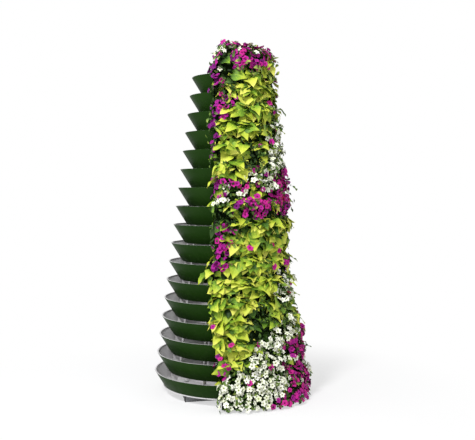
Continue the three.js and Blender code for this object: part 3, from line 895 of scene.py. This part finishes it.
def family_of(templates, faces):
    """One stack of templates, each a pair of points and map, with the first map and the faces."""
    return np.stack([points for points, _ in templates]), templates[0][1], faces


def copies(name, band, family, sites, pose, finish, tint):
    """One mesh of all copies: place + size (x across + y along + z normal), for every copy at once.

    A copy that would stand more than PROUD outside the CAD's box moves in, and what would dip
    below the floor lies on it instead, each copy at its own height.
    """
    templates, sheet_map, faces = family
    count, corners = len(tint), templates.shape[1]
    if count == 0:
        return 0
    across, along, normal, size, which = pose
    axes = np.stack([across, along, normal], 1) * size[:, None, None]
    points = sites["place"][:, None] + np.einsum("nmk,nkj->nmj", templates[which], axes)
    low, high = np.array(cad_box) + np.array([[-PROUD], [PROUD]])
    beyond = np.maximum(points.max(axis=1) - high, 0) - np.maximum(low - points.min(axis=1), 0)
    points -= beyond[:, None]
    points[..., 2] = np.maximum(points[..., 2], (FLOOR_REST + FLOOR_PILE * tint)[:, None])
    cells = math.ceil(math.sqrt(count))
    cell = np.stack([np.arange(count) % cells, np.arange(count) // cells], -1)
    inside = CELL_MARGIN + (1 - 2 * CELL_MARGIN) * sheet_map
    atlas = (cell[:, None] + inside[None]) / cells
    maps = {"UVMap": np.tile(sheet_map, (count, 1)), "OFBake": atlas.reshape(-1, 2)}
    piece = make_piece(f"{band}_{name}", points.reshape(-1, 3), for_copies(faces, count, corners),
                       [finish], maps=maps, values={"tint": np.repeat(tint, corners)})
    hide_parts(*band_nodes[band])
    return count


def grown(name, family, sites, pose, finish, tint):
    """The same, split by the bands of the tower, so that each band has its own piece."""
    band_index = np.minimum(np.searchsorted(band_tops, sites["height"]), len(bands) - 1)
    made = {}
    for index, band in enumerate(bands):
        here = band_index == index
        made[band] = copies(name, band, family, chosen(sites, here),
                            [values[here] for values in pose], finish, tint[here])
    print(name, made)


def ways_of(sites, lean_side, lean_up, spin):
    """Three ways of a copy: it faces out, leaning aside and up, and its tip hangs, turned."""
    lean_side, lean_up, spin = lean_side[:, None], lean_up[:, None], spin[:, None]
    normal = unit(sites["out"] + lean_side * sites["side"] - lean_up * sites["down"])
    level = unit(np.cross(sites["down"], normal))
    along = np.cos(spin) * np.cross(normal, level) + np.sin(spin) * level
    return np.cross(along, normal), along, normal


print("copy helpers ready")

# %% [markdown]
# The vine has soft lime leaves, heart shaped or with two blunt side lobes, folded along the
# midrib, with a drooping tip, a wavy edge and a short stalk that runs back into the shade. The
# half width at even steps along the leaf is its outline. Three outlines with four bends each
# give twelve templates.

# %% Vine leaf templates
LEAF_ROWS = 9
LEAF_COLUMNS = 5
STALK_SHARE = 0.08
STALK_HALF_WIDTH = 0.016
OUTLINE_SHARES = {
    "heart": (0.18, 0.42, 0.50, 0.47, 0.39, 0.30, 0.20, 0.10, 0.006),
    "lobed": (0.24, 0.48, 0.60, 0.46, 0.33, 0.26, 0.18, 0.09, 0.006),
    "slim": (0.16, 0.36, 0.44, 0.40, 0.33, 0.25, 0.17, 0.08, 0.006),
}
LEAF_BENDS = ((0.20, 0.18, 0.05), (0.34, 0.10, 0.06), (0.10, 0.36, 0.04), (-0.12, 0.28, 0.05))


def leaf_template(outline, fold, droop, wave, rows, columns, sweep, stalk):
    """A blade behind a stalk of two rows, which starts behind the leaf at stalk times its length.

    x = u h(v), y = v - sweep u u (1-v)^4 and z = fold |x| - droop v v + wave u u sin(9 v + 2 u).
    """
    u, v = np.meshgrid(np.linspace(-1, 1, columns), np.linspace(0, 1, rows))
    x = u * np.interp(v, np.linspace(0, 1, len(outline)), outline)
    y = v - sweep * u ** 2 * (1 - v) ** 4
    z = fold * np.abs(x) - droop * v ** 2 + wave * u ** 2 * np.sin(9 * v + 2 * u)
    blade = np.stack([x, y, z], -1)
    blade_map = np.stack([(u + 1) / 2, STALK_SHARE + (1 - STALK_SHARE) * v], -1)
    stalk_line = np.array([[[0, -0.5, -0.9]], [[0, 0, -0.05]]]) * stalk
    rear = np.stack([STALK_HALF_WIDTH * u[:2], 0 * u[:2], 0 * u[:2]], -1) + stalk_line
    rear_map = np.stack([(u[:2] + 1) / 2, np.array([[0.0], [STALK_SHARE / 2]]) + 0 * u[:2]], -1)
    return np.vstack([rear, blade]).reshape(-1, 3), np.vstack([rear_map, blade_map]).reshape(-1, 2)


vine_forms = [leaf_template(outline, *bend, LEAF_ROWS, LEAF_COLUMNS, sweep=0.17, stalk=0.6)
              for outline in OUTLINE_SHARES.values() for bend in LEAF_BENDS]
vine_family = family_of(vine_forms, grid_faces(LEAF_ROWS + 2, LEAF_COLUMNS))
print("vine templates:", vine_family[0].shape, "quads each:", len(vine_family[2]))

# %% [markdown]
# A leaf's finish reads its own map: a pale midrib, side veins that slant forward, and a stalk end
# darkened as painted shade where the leaf above overlaps it. The tint goes from the deep green of
# old leaves and of painted shade to the yellow lime of new ones.

# %% Leaf finishes


def copy_wires(start):
    """A copy's tint, and its places on the template's own map."""
    tint = start.node("ShaderNodeAttribute", {"attribute_name": "tint"}, output="Fac")
    return tint, start.node("ShaderNodeUVMap", {"uv_map": "UVMap"})


def leaf_finish(name, stops, vein_count, vein_pale, gloss):
    """A leaf with a midrib, slanting side veins and a tint for each copy."""
    made, start, shader = new_finish(name, Specular_IOR_Level=0.22)
    tint, sheet = copy_wires(start)
    side = (sheet.part(0) - 0.5).math("ABSOLUTE")
    along = sheet.part(1)
    midrib = 1 - side.above(0.012, 0.045)
    wave = ((along - side * 0.9) * vein_count).math("PINGPONG", 0.5)
    vein = (1 - wave.above(0.02, 0.16)) * (1 - side.above(0.30, 0.48))
    cloud = start.places().noise(45.0, 2.0)
    # Painted shade: the stalk end, where the leaf above overlaps it, is darker.
    stalk_shaded_tint = tint + (cloud - 0.5) * 0.22 + (along - 0.66) * 0.44
    lines = (midrib * 0.8).math("MAXIMUM", vein * 0.45)
    colour = lines.between(stalk_shaded_tint.ramp(*stops), (stalk_shaded_tint + vein_pale).ramp(*stops))
    dress(shader, colour, gloss + 0.15 * cloud, lines * 0.7 + cloud * 0.3, 0.0012, 0.6)
    return made


VINE_STOPS = ((0.0, (0.010, 0.028, 0.005)), (0.28, (0.035, 0.095, 0.010)),
              (0.48, (0.16, 0.31, 0.022)), (0.70, (0.50, 0.585, 0.048)), (1.0, (0.68, 0.68, 0.12)))
vine_leaf = leaf_finish("vine_leaf", VINE_STOPS, 6.0, 0.16, 0.45)
HERB_STOPS = ((0.0, (0.008, 0.022, 0.005)), (0.35, (0.026, 0.065, 0.010)),
              (0.62, (0.070, 0.140, 0.022)), (0.82, (0.19, 0.29, 0.050)), (1.0, (0.42, 0.50, 0.11)))
herb_leaf = leaf_finish("petunia_leaf", HERB_STOPS, 4.0, 0.18, 0.55)
print("leaf finishes:", vine_leaf.name, herb_leaf.name)

# %% [markdown]
# Vine leaves turn their faces up to the light and hang their tips down or aside, so that they
# overlap like shingles with dark gaps under each. A deeper layer of leaves with darker tints,
# painted shade, fills in below, and in the shaded hollows only that layer grows.

# %% Vine leaves
SEED = 41
dice = np.random.default_rng(SEED)
VINE_SIZE = (0.056, 0.122)
VINE_SIDE_LEAN = 0.34
VINE_LEAN = (0.1, 1.25)
VINE_SPIN = (0.1, 1.5)
VINE_JITTER = 0.012
VINE_DEPTH_SPREAD = 0.016
VINE_FROM = 0.07
VINE_SIZE_BIAS = 1.4
TINT_LIMITS = (0.02, 0.98)


def vine_layer(name, skin_count, edge_count, seed, depth, tints, kinds, size_share):
    """One layer of vine leaves, depth metres inside the skin."""
    sites = planned_sites(skin_count, edge_count, seed)
    sites = chosen(sites, np.isin(sites["kind"], kinds) & (sites["height"] > VINE_FROM))
    count = len(sites["height"])
    jitter = dice.normal(0, VINE_JITTER, (count, 3))
    inward = (depth + VINE_DEPTH_SPREAD * dice.random((count, 1))) * edge_share(sites)
    sites["place"] = sites["place"] - sites["out"] * inward + jitter
    ways = ways_of(sites, dice.normal(0, VINE_SIDE_LEAN, count), dice.uniform(*VINE_LEAN, count),
                   dice.uniform(*VINE_SPIN, count) * dice.choice([-1, 1], count))
    size = VINE_SIZE[0] + (VINE_SIZE[1] - VINE_SIZE[0]) * dice.random(count) ** VINE_SIZE_BIAS
    which = dice.integers(0, len(vine_forms), count)
    tint = np.clip(dice.normal(*tints, count), *TINT_LIMITS)
    pose = (*ways, size * size_share, which)
    grown(name, vine_family, sites, pose, vine_leaf, tint)


vine_layer("vine_leaves", skin_count=4600, edge_count=700, seed=3, depth=0.036,
           tints=(0.71, 0.16), kinds=[VINE], size_share=1.0)
# The deeper layer's lower tints are painted shade.
vine_layer("shaded_vine_leaves", skin_count=1700, edge_count=320, seed=7, depth=0.062,
           tints=(0.34, 0.12), kinds=[VINE, SHADE], size_share=1.05)

# %% [markdown]
# A petunia is a trumpet: a narrow throat that opens into a flat, frilled limb of five lobes. Its
# template is a grid of rings and spokes, and the lobes come from the sine of two and a half times
# the angle. The magenta flowers are round, and the white ones more like stars.

# %% Petunia templates
RING_RADII = (0.0, 0.14, 0.30, 0.68, 1.0)
RING_HEIGHTS = (-0.52, -0.40, -0.10, 0.03, 0.0)
LOBE_SHARES = (0.0, 0.0, 0.05, 0.35, 1.0)
PETUNIAS = {
    # spokes, notch, point, and the frill and the curl of each template
    "magenta": (15, 0.80, 0.6, ((0.05, 0.02), (0.09, 0.10), (0.04, -0.14), (0.10, 0.22))),
    "white": (20, 0.60, 0.95, ((0.04, 0.04), (0.07, 0.14), (0.03, -0.16), (0.08, 0.24))),
}


def petunia_template(spokes, notch, point, frill, curl):
    """Ring k at angle t has radius r_k (1 - s_k (1 - lobe(t))), and the outer rings a frill."""
    ring, spoke = np.meshgrid(np.arange(len(RING_RADII)), np.arange(spokes), indexing="ij")
    angle = spoke * 2 * np.pi / spokes
    lobe = notch + (1 - notch) * np.abs(np.sin(2.5 * angle)) ** point
    share = np.array(LOBE_SHARES)[ring]
    radius = np.array(RING_RADII)[ring] * (1 - share * (1 - lobe))
    frilled = frill * (np.sin(5 * angle + 1.1) + np.sin(3 * angle)) - curl
    height = np.array(RING_HEIGHTS)[ring] + share * frilled
    points = np.stack([radius * np.cos(angle), radius * np.sin(angle), height], -1)
    even = (ring + 0.4) / (len(RING_RADII) - 0.6)
    disc = np.stack([0.5 + 0.5 * even * np.cos(angle), 0.5 + 0.5 * even * np.sin(angle)], -1)
    return points.reshape(-1, 3), disc.reshape(-1, 2)


petunia_families = {}
for colour, (spokes, notch, point, shapes) in PETUNIAS.items():
    forms = [petunia_template(spokes, notch, point, *shape) for shape in shapes]
    petunia_families[colour] = family_of(forms, grid_faces(len(RING_RADII), spokes, around=True))
print("petunia quads:", {colour: len(family[2]) for colour, family in petunia_families.items()})

# %% [markdown]
# Petal colour runs outwards from a dark eye, in a magenta flower, or from a green and yellow
# throat, in a white one, with fine veins along the spokes. The petals are soft and slightly
# velvety, so they have hardly any gloss.

# %% Petal finishes


def petal_finish(name, eye, body_stops, eye_size, vein_depth):
    """A radial petal: an eye, a body colour by tint and fine veins along the spokes."""
    made, start, shader = new_finish(name, Specular_IOR_Level=0.12)
    tint, sheet = copy_wires(start)
    centre = {0: sheet, 1: (0.5, 0.5, 0.0)}
    centred = sheet.node("ShaderNodeVectorMath", {"operation": "SUBTRACT"}, centre)
    away = centred.length() * 2
    angle = centred.part(1).math("ARCTAN2", centred.part(0))
    spoke = (angle * 30.0).math("SINE")
    vein = spoke.above(0.2, 1.0) * (1 - away.above(0.55, 1.0)) * vein_depth
    eye_share = 1 - away.above(eye_size * 0.55, eye_size * 1.35)
    colour = eye_share.math("MAXIMUM", vein).between(tint.ramp(*body_stops), eye)
    dress(shader, colour, 0.55 + 0.15 * away, vein, 0.0006, 0.5)
    return made


MAGENTA_STOPS = ((0.0, (0.11, 0.012, 0.13)), (0.30, (0.32, 0.014, 0.24)),
                 (0.60, (0.52, 0.019, 0.27)), (0.86, (0.52, 0.026, 0.22)),
                 (1.0, (0.48, 0.015, 0.065)))
WHITE_STOPS = ((0.0, (0.68, 0.73, 0.48)), (0.5, (0.84, 0.86, 0.72)), (1.0, (0.90, 0.90, 0.84)))
magenta_petal = petal_finish("magenta_petal", (0.055, 0.002, 0.045), MAGENTA_STOPS, 0.40, 0.30)
white_petal = petal_finish("white_petal", (0.32, 0.38, 0.07), WHITE_STOPS, 0.46, 0.12)
print("petals:", magenta_petal.name, white_petal.name)

# %% [markdown]
# Flowers sit at the very surface and look outwards and a little up, to the light. One set of
# places serves both colours, so that they never share a spot. In white patches a few magenta
# flowers come up, and a few are redder than the rest. Past the planted edge their tint drops,
# which makes them darker and more purple: painted shade.

# %% Flowers
FLOWER_RADIUS = (0.0205, 0.0285)
FLOWER_RISE = (-0.024, 0.008)
FLOWER_JITTER = 0.008
FLOWERS_FROM = 0.03
MAGENTA_SHARES = np.array([0.985, 0.985, 0.05, 0.60, 0.985])
RED_SHARE = 0.04
RED_SHIFT = 0.38
PAINTED_EDGE_SHADE_FROM = (-6, 186)
PAINTED_EDGE_SHADE_FADE = 8
PAINTED_EDGE_SHADE_SHIFT = 0.75
FLOWER_SIDE_LEAN = 0.38
FLOWER_LEAN = (0.30, 0.34)
FLOWER_TINT = (0.52, 0.17)

sites = planned_sites(skin_count=5000, edge_count=1300, seed=11)
count = len(sites["height"])
blooming = (dice.random(count) < sites["fill"]) & (sites["height"] > FLOWERS_FROM)
is_white = dice.random(count) > MAGENTA_SHARES[sites["kind"]]
sites["place"] = sites["place"] + sites["out"] * dice.uniform(*FLOWER_RISE, (count, 1))
sites["place"] = sites["place"] + dice.normal(0, FLOWER_JITTER, (count, 3))
ways = ways_of(sites, dice.normal(0, FLOWER_SIDE_LEAN, count), dice.normal(*FLOWER_LEAN, count),
               dice.uniform(0, 2 * np.pi, count))
size = dice.uniform(*FLOWER_RADIUS, count)
which = dice.integers(0, len(PETUNIAS["white"][-1]), count)
tint = dice.normal(*FLOWER_TINT, count) + RED_SHIFT * (dice.random(count) < RED_SHARE)
# Painted shade: past the planted edge the tint drops towards the dark purple end of the ramp.
painted_edge_shade = sum(np.clip(past / PAINTED_EDGE_SHADE_FADE, 0, 1)
             for past in (PAINTED_EDGE_SHADE_FROM[0] - sites["azimuth"], sites["azimuth"] - PAINTED_EDGE_SHADE_FROM[1]))
tint = np.clip(tint, 0, 1) * (1 - PAINTED_EDGE_SHADE_SHIFT * painted_edge_shade)

for colour, mask, finish in (("magenta", blooming & ~is_white, magenta_petal),
                             ("white", blooming & is_white, white_petal)):
    grown(f"{colour}_petunias", petunia_families[colour], chosen(sites, mask),
          [values[mask] for values in (*ways, size, which)], finish, tint[mask])

# %% [markdown]
# Between the flowers the petunias' own leaves show: small ovals, dark to mid green, at all
# angles. They also fill the hollows of the vine, where their darkest tint is painted shade, and
# line the planted edge.

# %% Petunia leaves
HERB_ROWS = 5
HERB_COLUMNS = 3
HERB_OUTLINE_SHARES = (0.05, 0.23, 0.27, 0.19, 0.01)
HERB_BENDS = ((0.4, 0.2, 0.0), (0.2, 0.5, 0.0), (0.6, -0.1, 0.0))
HERB_SIZE = (0.024, 0.044)
# The last tint, for shade patches, is the darkest: painted shade.
HERB_TINTS = np.array([0.50, 0.44, 0.66, 0.56, 0.30])
HERB_SHARES = np.array([0.25, 1.0, 1.0, 1.0, 1.0])
HERB_UPWARD_LEAN = 0.4
HERB_DEPTH = 0.026
HERB_DEPTH_SPREAD = 0.02
HERBS_FROM = 0.015

herb_forms = [leaf_template(HERB_OUTLINE_SHARES, *bend, HERB_ROWS, HERB_COLUMNS,
                            sweep=0.0, stalk=0.2) for bend in HERB_BENDS]
herb_family = family_of(herb_forms, grid_faces(HERB_ROWS + 2, HERB_COLUMNS))


def herbs(name, sites, lean, mean_tint, tint_spread, size_share=1.0):
    """Petunia leaves at all places of a set."""
    count = len(sites["height"])
    ways = ways_of(sites, dice.normal(0, lean, count), dice.normal(HERB_UPWARD_LEAN, lean, count),
                   dice.uniform(-np.pi, np.pi, count))
    size = dice.uniform(*HERB_SIZE, count) * size_share
    which = dice.integers(0, len(herb_forms), count)
    tint = np.clip(mean_tint + dice.normal(0, tint_spread, count), 0.0, 1.0)
    grown(name, herb_family, sites, (*ways, size, which), herb_leaf, tint)


sites = planned_sites(skin_count=9500, edge_count=4200, seed=17)
kept = dice.random(len(sites["kind"])) < HERB_SHARES[sites["kind"]]
sites = chosen(sites, kept & (sites["height"] > HERBS_FROM))
depth = HERB_DEPTH + dice.uniform(-HERB_DEPTH_SPREAD, HERB_DEPTH_SPREAD, (len(sites["kind"]), 1))
sites["place"] = sites["place"] - sites["out"] * depth * edge_share(sites)
herbs("petunia_leaves", sites, lean=0.9, mean_tint=HERB_TINTS[sites["kind"]], tint_spread=0.19)

# %% [markdown]
# Thin shoots break the outline: each arches out of the skin and hangs, with small leaves along
# it. The stem is a thin four-sided tube whose middle line is y = v and z = 0.9 v - 0.75 v v, and
# the leaves take their places from the same line. At the crown's right shoulder the shoots are
# young and lime green. Elsewhere none grows in the vine or stands on the crown's flat top.

# %% Shoots
SHOOT_ROWS = 8
SHOOT_SPOKES = 4
SHOOT_THICKNESS = 0.011
SHOOT_LENGTH = (0.07, 0.15)
SHOOT_LEAF_SHARES = (0.30, 0.48, 0.64, 0.80, 0.95)
SHOOT_SIDE_LEAN = 0.3
SHOOT_LEAN = (0.0, 0.8)
SHOOT_SPIN = 0.8
SHOOT_SHARE_AT_GROUND = 0.6
SHOOT_DEPTH = 0.03
SHOOTS_FROM = 0.2
SHOULDER_HEIGHT = 2.6
SHOULDER_AZIMUTH = 70
SHOULDER_HALF_WIDTH = 30
FLAT_TOP_RISE = 0.55
FLAT_TOP_SHARE = 0.55


def at_shoulder(sites):
    """Whether each place is at the crown's right shoulder."""
    beside = np.abs(sites["azimuth"] - SHOULDER_AZIMUTH) < SHOULDER_HALF_WIDTH
    return (sites["height"] > SHOULDER_HEIGHT) & beside


def shoot_line(v):
    """How far along and how far out the shoot is at share v of its length."""
    return v, 0.9 * v - 0.75 * v ** 2


v, spoke = np.meshgrid(np.linspace(0, 1, SHOOT_ROWS), even_angles(SHOOT_SPOKES), indexing="ij")
run, rise = shoot_line(v)
thickness = SHOOT_THICKNESS * np.minimum(8 * v, 1) * (1 - v)
stem = np.stack([thickness * np.cos(spoke), run, rise + thickness * np.sin(spoke)], -1)
stem_map = np.stack([spoke / 6.3, v], -1)
stem_faces = grid_faces(SHOOT_ROWS, SHOOT_SPOKES, around=True)[:, ::-1]
stem_family = family_of([(stem.reshape(-1, 3), stem_map.reshape(-1, 2))], stem_faces)
STEM_STOPS = ((0.0, (0.04, 0.08, 0.012)), (1.0, (0.20, 0.30, 0.06)))
stem_finish = leaf_finish("stem", STEM_STOPS, 0.0, 0.0, 0.5)

sites = planned_sites(skin_count=330, edge_count=60, seed=23)
flat_top = sites["out"][:, 2] > FLAT_TOP_RISE
standing = (sites["kind"] != VINE) & (sites["height"] > SHOOTS_FROM) & ~flat_top
sites = chosen(sites, at_shoulder(sites) | standing)
count = len(sites["height"])
sites["place"] = sites["place"] - SHOOT_DEPTH * sites["out"]
ways = ways_of(sites, dice.normal(0, SHOOT_SIDE_LEAN, count), dice.uniform(*SHOOT_LEAN, count),
               dice.normal(0, SHOOT_SPIN, count))
length = dice.uniform(*SHOOT_LENGTH, count)
length = length * np.clip(SHOOT_SHARE_AT_GROUND + sites["height"] / 2, 0, 1)
length = length * np.where(sites["out"][:, 2] > FLAT_TOP_RISE, FLAT_TOP_SHARE, 1.0)
grown("shoots", stem_family, sites, (*ways, length, np.zeros(count, int)),
      stem_finish, dice.random(count))

shoot_leaves = joined([
    {**sites, "place": sites["place"] + length[:, None] * (run * ways[1] + rise * ways[2])}
    for run, rise in map(shoot_line, SHOOT_LEAF_SHARES)])
lime = at_shoulder(shoot_leaves)
herbs("shoot_leaves", shoot_leaves, lean=0.7, mean_tint=np.where(lime, 1.0, 0.60),
      tint_spread=0.17, size_share=np.where(lime, 1.6, 1.0))

# %% [markdown]
# Small fasteners come last. Three domed rivets hold each collar's lap, at the back, two hexagon
# bolts hold each post to the floor plate, and a rippled weld bead joins each end of the foot's
# crossbars to its rail. Rivets and bolts are one template each, copied. A bead is a tube along a
# line that goes up one side of the crossbar's end, over its top and down the other.

# %% Fasteners
RIVET_RADIUS = 0.0055
RIVET_HEIGHTS = (0.22, 0.50, 0.78)
RIVET_PROFILE = ((0, 1, 1, 0.86, 0.5, 0), (-0.1, -0.1, 0.08, 0.38, 0.6, 0.66))
BOLT_RADIUS = 0.0075
BOLT_PROFILE = ((0, 1, 1, 0.9, 0), (0, 0, 0.6, 0.7, 0.7))
BOLT_INSET = 0.012
BEAD_RADIUS = 0.0032
BEAD_STEPS = 48
BEAD_SPOKES = 8
TUBE_CORNER = 0.006


def stud_template(spokes, radii, heights):
    """A closed stud as a grid of rings; the first and the last ring are points on its axis."""
    angle = even_angles(spokes)
    radii, heights = np.array(radii)[:, None], np.array(heights)[:, None]
    return np.stack([radii * np.cos(angle), radii * np.sin(angle), heights + 0 * angle], -1)


def studs(name, template, places, outs, size, smooth):
    """One mesh with a stud at every place, its axis along the way out."""
    rows, spokes, _ = template.shape
    aside = unit(np.cross(outs, np.array([[0.61, 0.79, 0.05]])))
    axes = np.stack([aside, np.cross(outs, aside), outs], 1) * size
    points = places[:, None] + np.einsum("mk,nkj->nmj", template.reshape(-1, 3), axes)
    faces = for_copies(grid_faces(rows, spokes, around=True), len(places), rows * spokes)
    piece = make_piece(name, points.reshape(-1, 3), faces, [zinc], smooth=smooth)
    return len(places)


def rivet_places():
    """Places on the outer walls along the lap, and the way out of the wall there."""
    foot, rim, low, high = (ring_values(size) for size in ("foot", "rim", "foot_z", "rim_z"))
    share = np.array(RIVET_HEIGHTS)[:, None]
    radius, height = (foot + share * (rim - foot)).ravel(), (low + share * (high - low)).ravel()
    way = level_way(LAP_AZIMUTH)
    places = (radius + LAP_RISE)[:, None] * way + height[:, None] * UP
    return places, unit(np.tile(way - wall_slope * UP, (len(radius), 1)))


def bolt_places():
    """Two places on each post's foot plate, one on each side of the bar."""
    places = []
    for name in nodes_of("post_"):
        points = node_points(name)
        plate = points[points[:, 2] < points[:, 2].min() + 2 * TOUCH]
        middle = (plate.max(axis=0) + plate.min(axis=0)) / 2
        aside = unit(np.cross([UP], [middle * [1, 1, 0]]))[0]
        reach = np.abs((plate - middle) @ aside).max() - BOLT_INSET
        top = np.unique(np.round(points[:, 2], 4))[1]
        places += [[*(middle + way * reach * aside)[:2], top] for way in (-1, 1)]
    return np.array(places)


def bead(name, end):
    """Points of the bead at a crossbar's end, a tube that ripples and closes at both ends."""
    points = node_points(name)
    middle = (points.max(axis=0) + points.min(axis=0)) / 2 * [1, 1, 0]
    along = np.append(np.linalg.svd((points - middle)[:, :2], full_matrices=False)[2][0], 0.0)
    across = np.cross(UP, along)
    half_length, half_width = np.abs((points - middle) @ np.stack([along, across]).T).max(axis=0)
    top = points[:, 2].max()
    side = np.array([[-half_width, BEAD_RADIUS], [-half_width, top - TUBE_CORNER],
                     [TUBE_CORNER - half_width, top]])
    line = np.vstack([side, (side * [-1, 1])[::-1]])
    run = distances_along(line)
    steps = np.linspace(0, run[-1], BEAD_STEPS)
    path = np.stack([np.interp(steps, run, column) for column in line.T], -1)
    ahead = unit(np.gradient(path, axis=0))
    normal = ahead[:, 1:] * -across + ahead[:, :1] * UP
    radius = BEAD_RADIUS * (0.85 + 0.15 * np.sin(1.9 * np.arange(BEAD_STEPS)))
    radius[[0, -1]] = 0.0
    angle = even_angles(BEAD_SPOKES)[None, :, None]
    ring = np.cos(angle) * along + np.sin(angle) * normal[:, None]
    centre = middle + end * half_length * along + path[:, :1] * across + path[:, 1:] * UP
    return (centre[:, None] + radius[:, None, None] * ring).reshape(-1, 3)


places, outs = rivet_places()
dome = stud_template(10, *RIVET_PROFILE)
print("rivets:", studs("lap_rivets", dome, places, outs, RIVET_RADIUS, True))
places = bolt_places()
hexagon = stud_template(6, *BOLT_PROFILE)
upward = np.tile(UP, (len(places), 1))
print("bolts:", studs("post_bolts", hexagon, places, upward, BOLT_RADIUS, False))
beads = [bead(name, end) for name in nodes_of("foot_crossbar") for end in (-1, 1)]
bead_faces = for_copies(grid_faces(BEAD_STEPS, BEAD_SPOKES, around=True), len(beads), len(beads[0]))
bead_piece = make_piece("foot_weld_beads", np.vstack(beads), bead_faces, [foot_paint])
print("beads:", len(beads))

# %% [markdown]
# The stage is a plain pale floor under soft light. Away from the tower the floor fades to plain
# white for the camera, so that it meets the white surroundings without a line, and near the
# tower it keeps about half of the shadow. The world is white to the camera, to gloss and to clear
# materials, and a softer white as a light. One broad lamp from the front left gives the leaves
# their shape.

# %% Floor, surroundings and light
FLOOR_HALF = 14.0
FLOOR_STEPS = 9
FLOOR_WHITE = (0.86, 0.86, 0.87)
FADE_FROM = 0.9
FADE_TO = 2.3
FADE_LEAST = 0.55
SKY_LIGHT = 0.68
KEY_PLACE = (-2.6, -5.2, 6.6)
KEY_AIM = (0.1, 0.0, 1.2)
KEY_SIZE = 1.6
KEY_WATTS = 560.0

floor_finish, start, shader = new_finish("floor_white", Base_Color=FLOOR_WHITE, Roughness=0.9,
                                         Specular_IOR_Level=0.1)
away = start.places().length()
seen, gloss = (start.is_ray(kind) for kind in ("Camera", "Glossy"))
fade = (FADE_LEAST + (1 - FADE_LEAST) * away.above(FADE_FROM, FADE_TO)) * (seen + gloss)
glow = start.node("ShaderNodeEmission", None, {"Color": (1.0, 1.0, 1.0), "Strength": 1.0})
matte = Wire(start.tree, shader.outputs[0])
mixed = start.node("ShaderNodeMixShader", None, {0: fade, 1: matte, 2: glow})
fill(start.tree.nodes["Material Output"], {"Surface": mixed})

side = np.linspace(-FLOOR_HALF, FLOOR_HALF, FLOOR_STEPS)
floor_points = np.stack([*np.meshgrid(side, side), np.zeros((FLOOR_STEPS, FLOOR_STEPS))], -1)
floor_mesh = bpy.data.meshes.new("floor")
floor_faces = grid_faces(FLOOR_STEPS, FLOOR_STEPS)
floor_mesh.from_pydata(floor_points.reshape(-1, 3).tolist(), [], floor_faces.tolist())
floor_mesh.materials.append(floor_finish)
floor = bpy.data.objects.new("floor", floor_mesh)
bpy.context.scene.collection.objects.link(floor)

world = bpy.data.worlds.new("surroundings")
world.use_nodes = True
bpy.context.scene.world = world
start = Wire(world.node_tree)
seen, gloss, clear = (start.is_ray(kind) for kind in ("Camera", "Glossy", "Transmission"))
direct = seen.math("MAXIMUM", gloss).math("MAXIMUM", clear)
fill(world.node_tree.nodes["Background"], {
    "Color": (1.0, 1.0, 1.0), "Strength": SKY_LIGHT + (1.0 - SKY_LIGHT) * direct})

key = bpy.data.lights.new("key", "AREA")
key.shape = "DISK"
key.size = KEY_SIZE
key.energy = KEY_WATTS
key_lamp = bpy.data.objects.new("key", key)
key_lamp.location = KEY_PLACE
aim = key_lamp.location.copy()
aim.xyz = KEY_AIM
key_lamp.rotation_euler = (aim - key_lamp.location).to_track_quat("-Z", "Y").to_euler()
bpy.context.scene.collection.objects.link(key_lamp)

view = bpy.context.scene.view_settings
view.view_transform = "Standard"
print("light:", key.energy, "watts and a sky of", SKY_LIGHT)
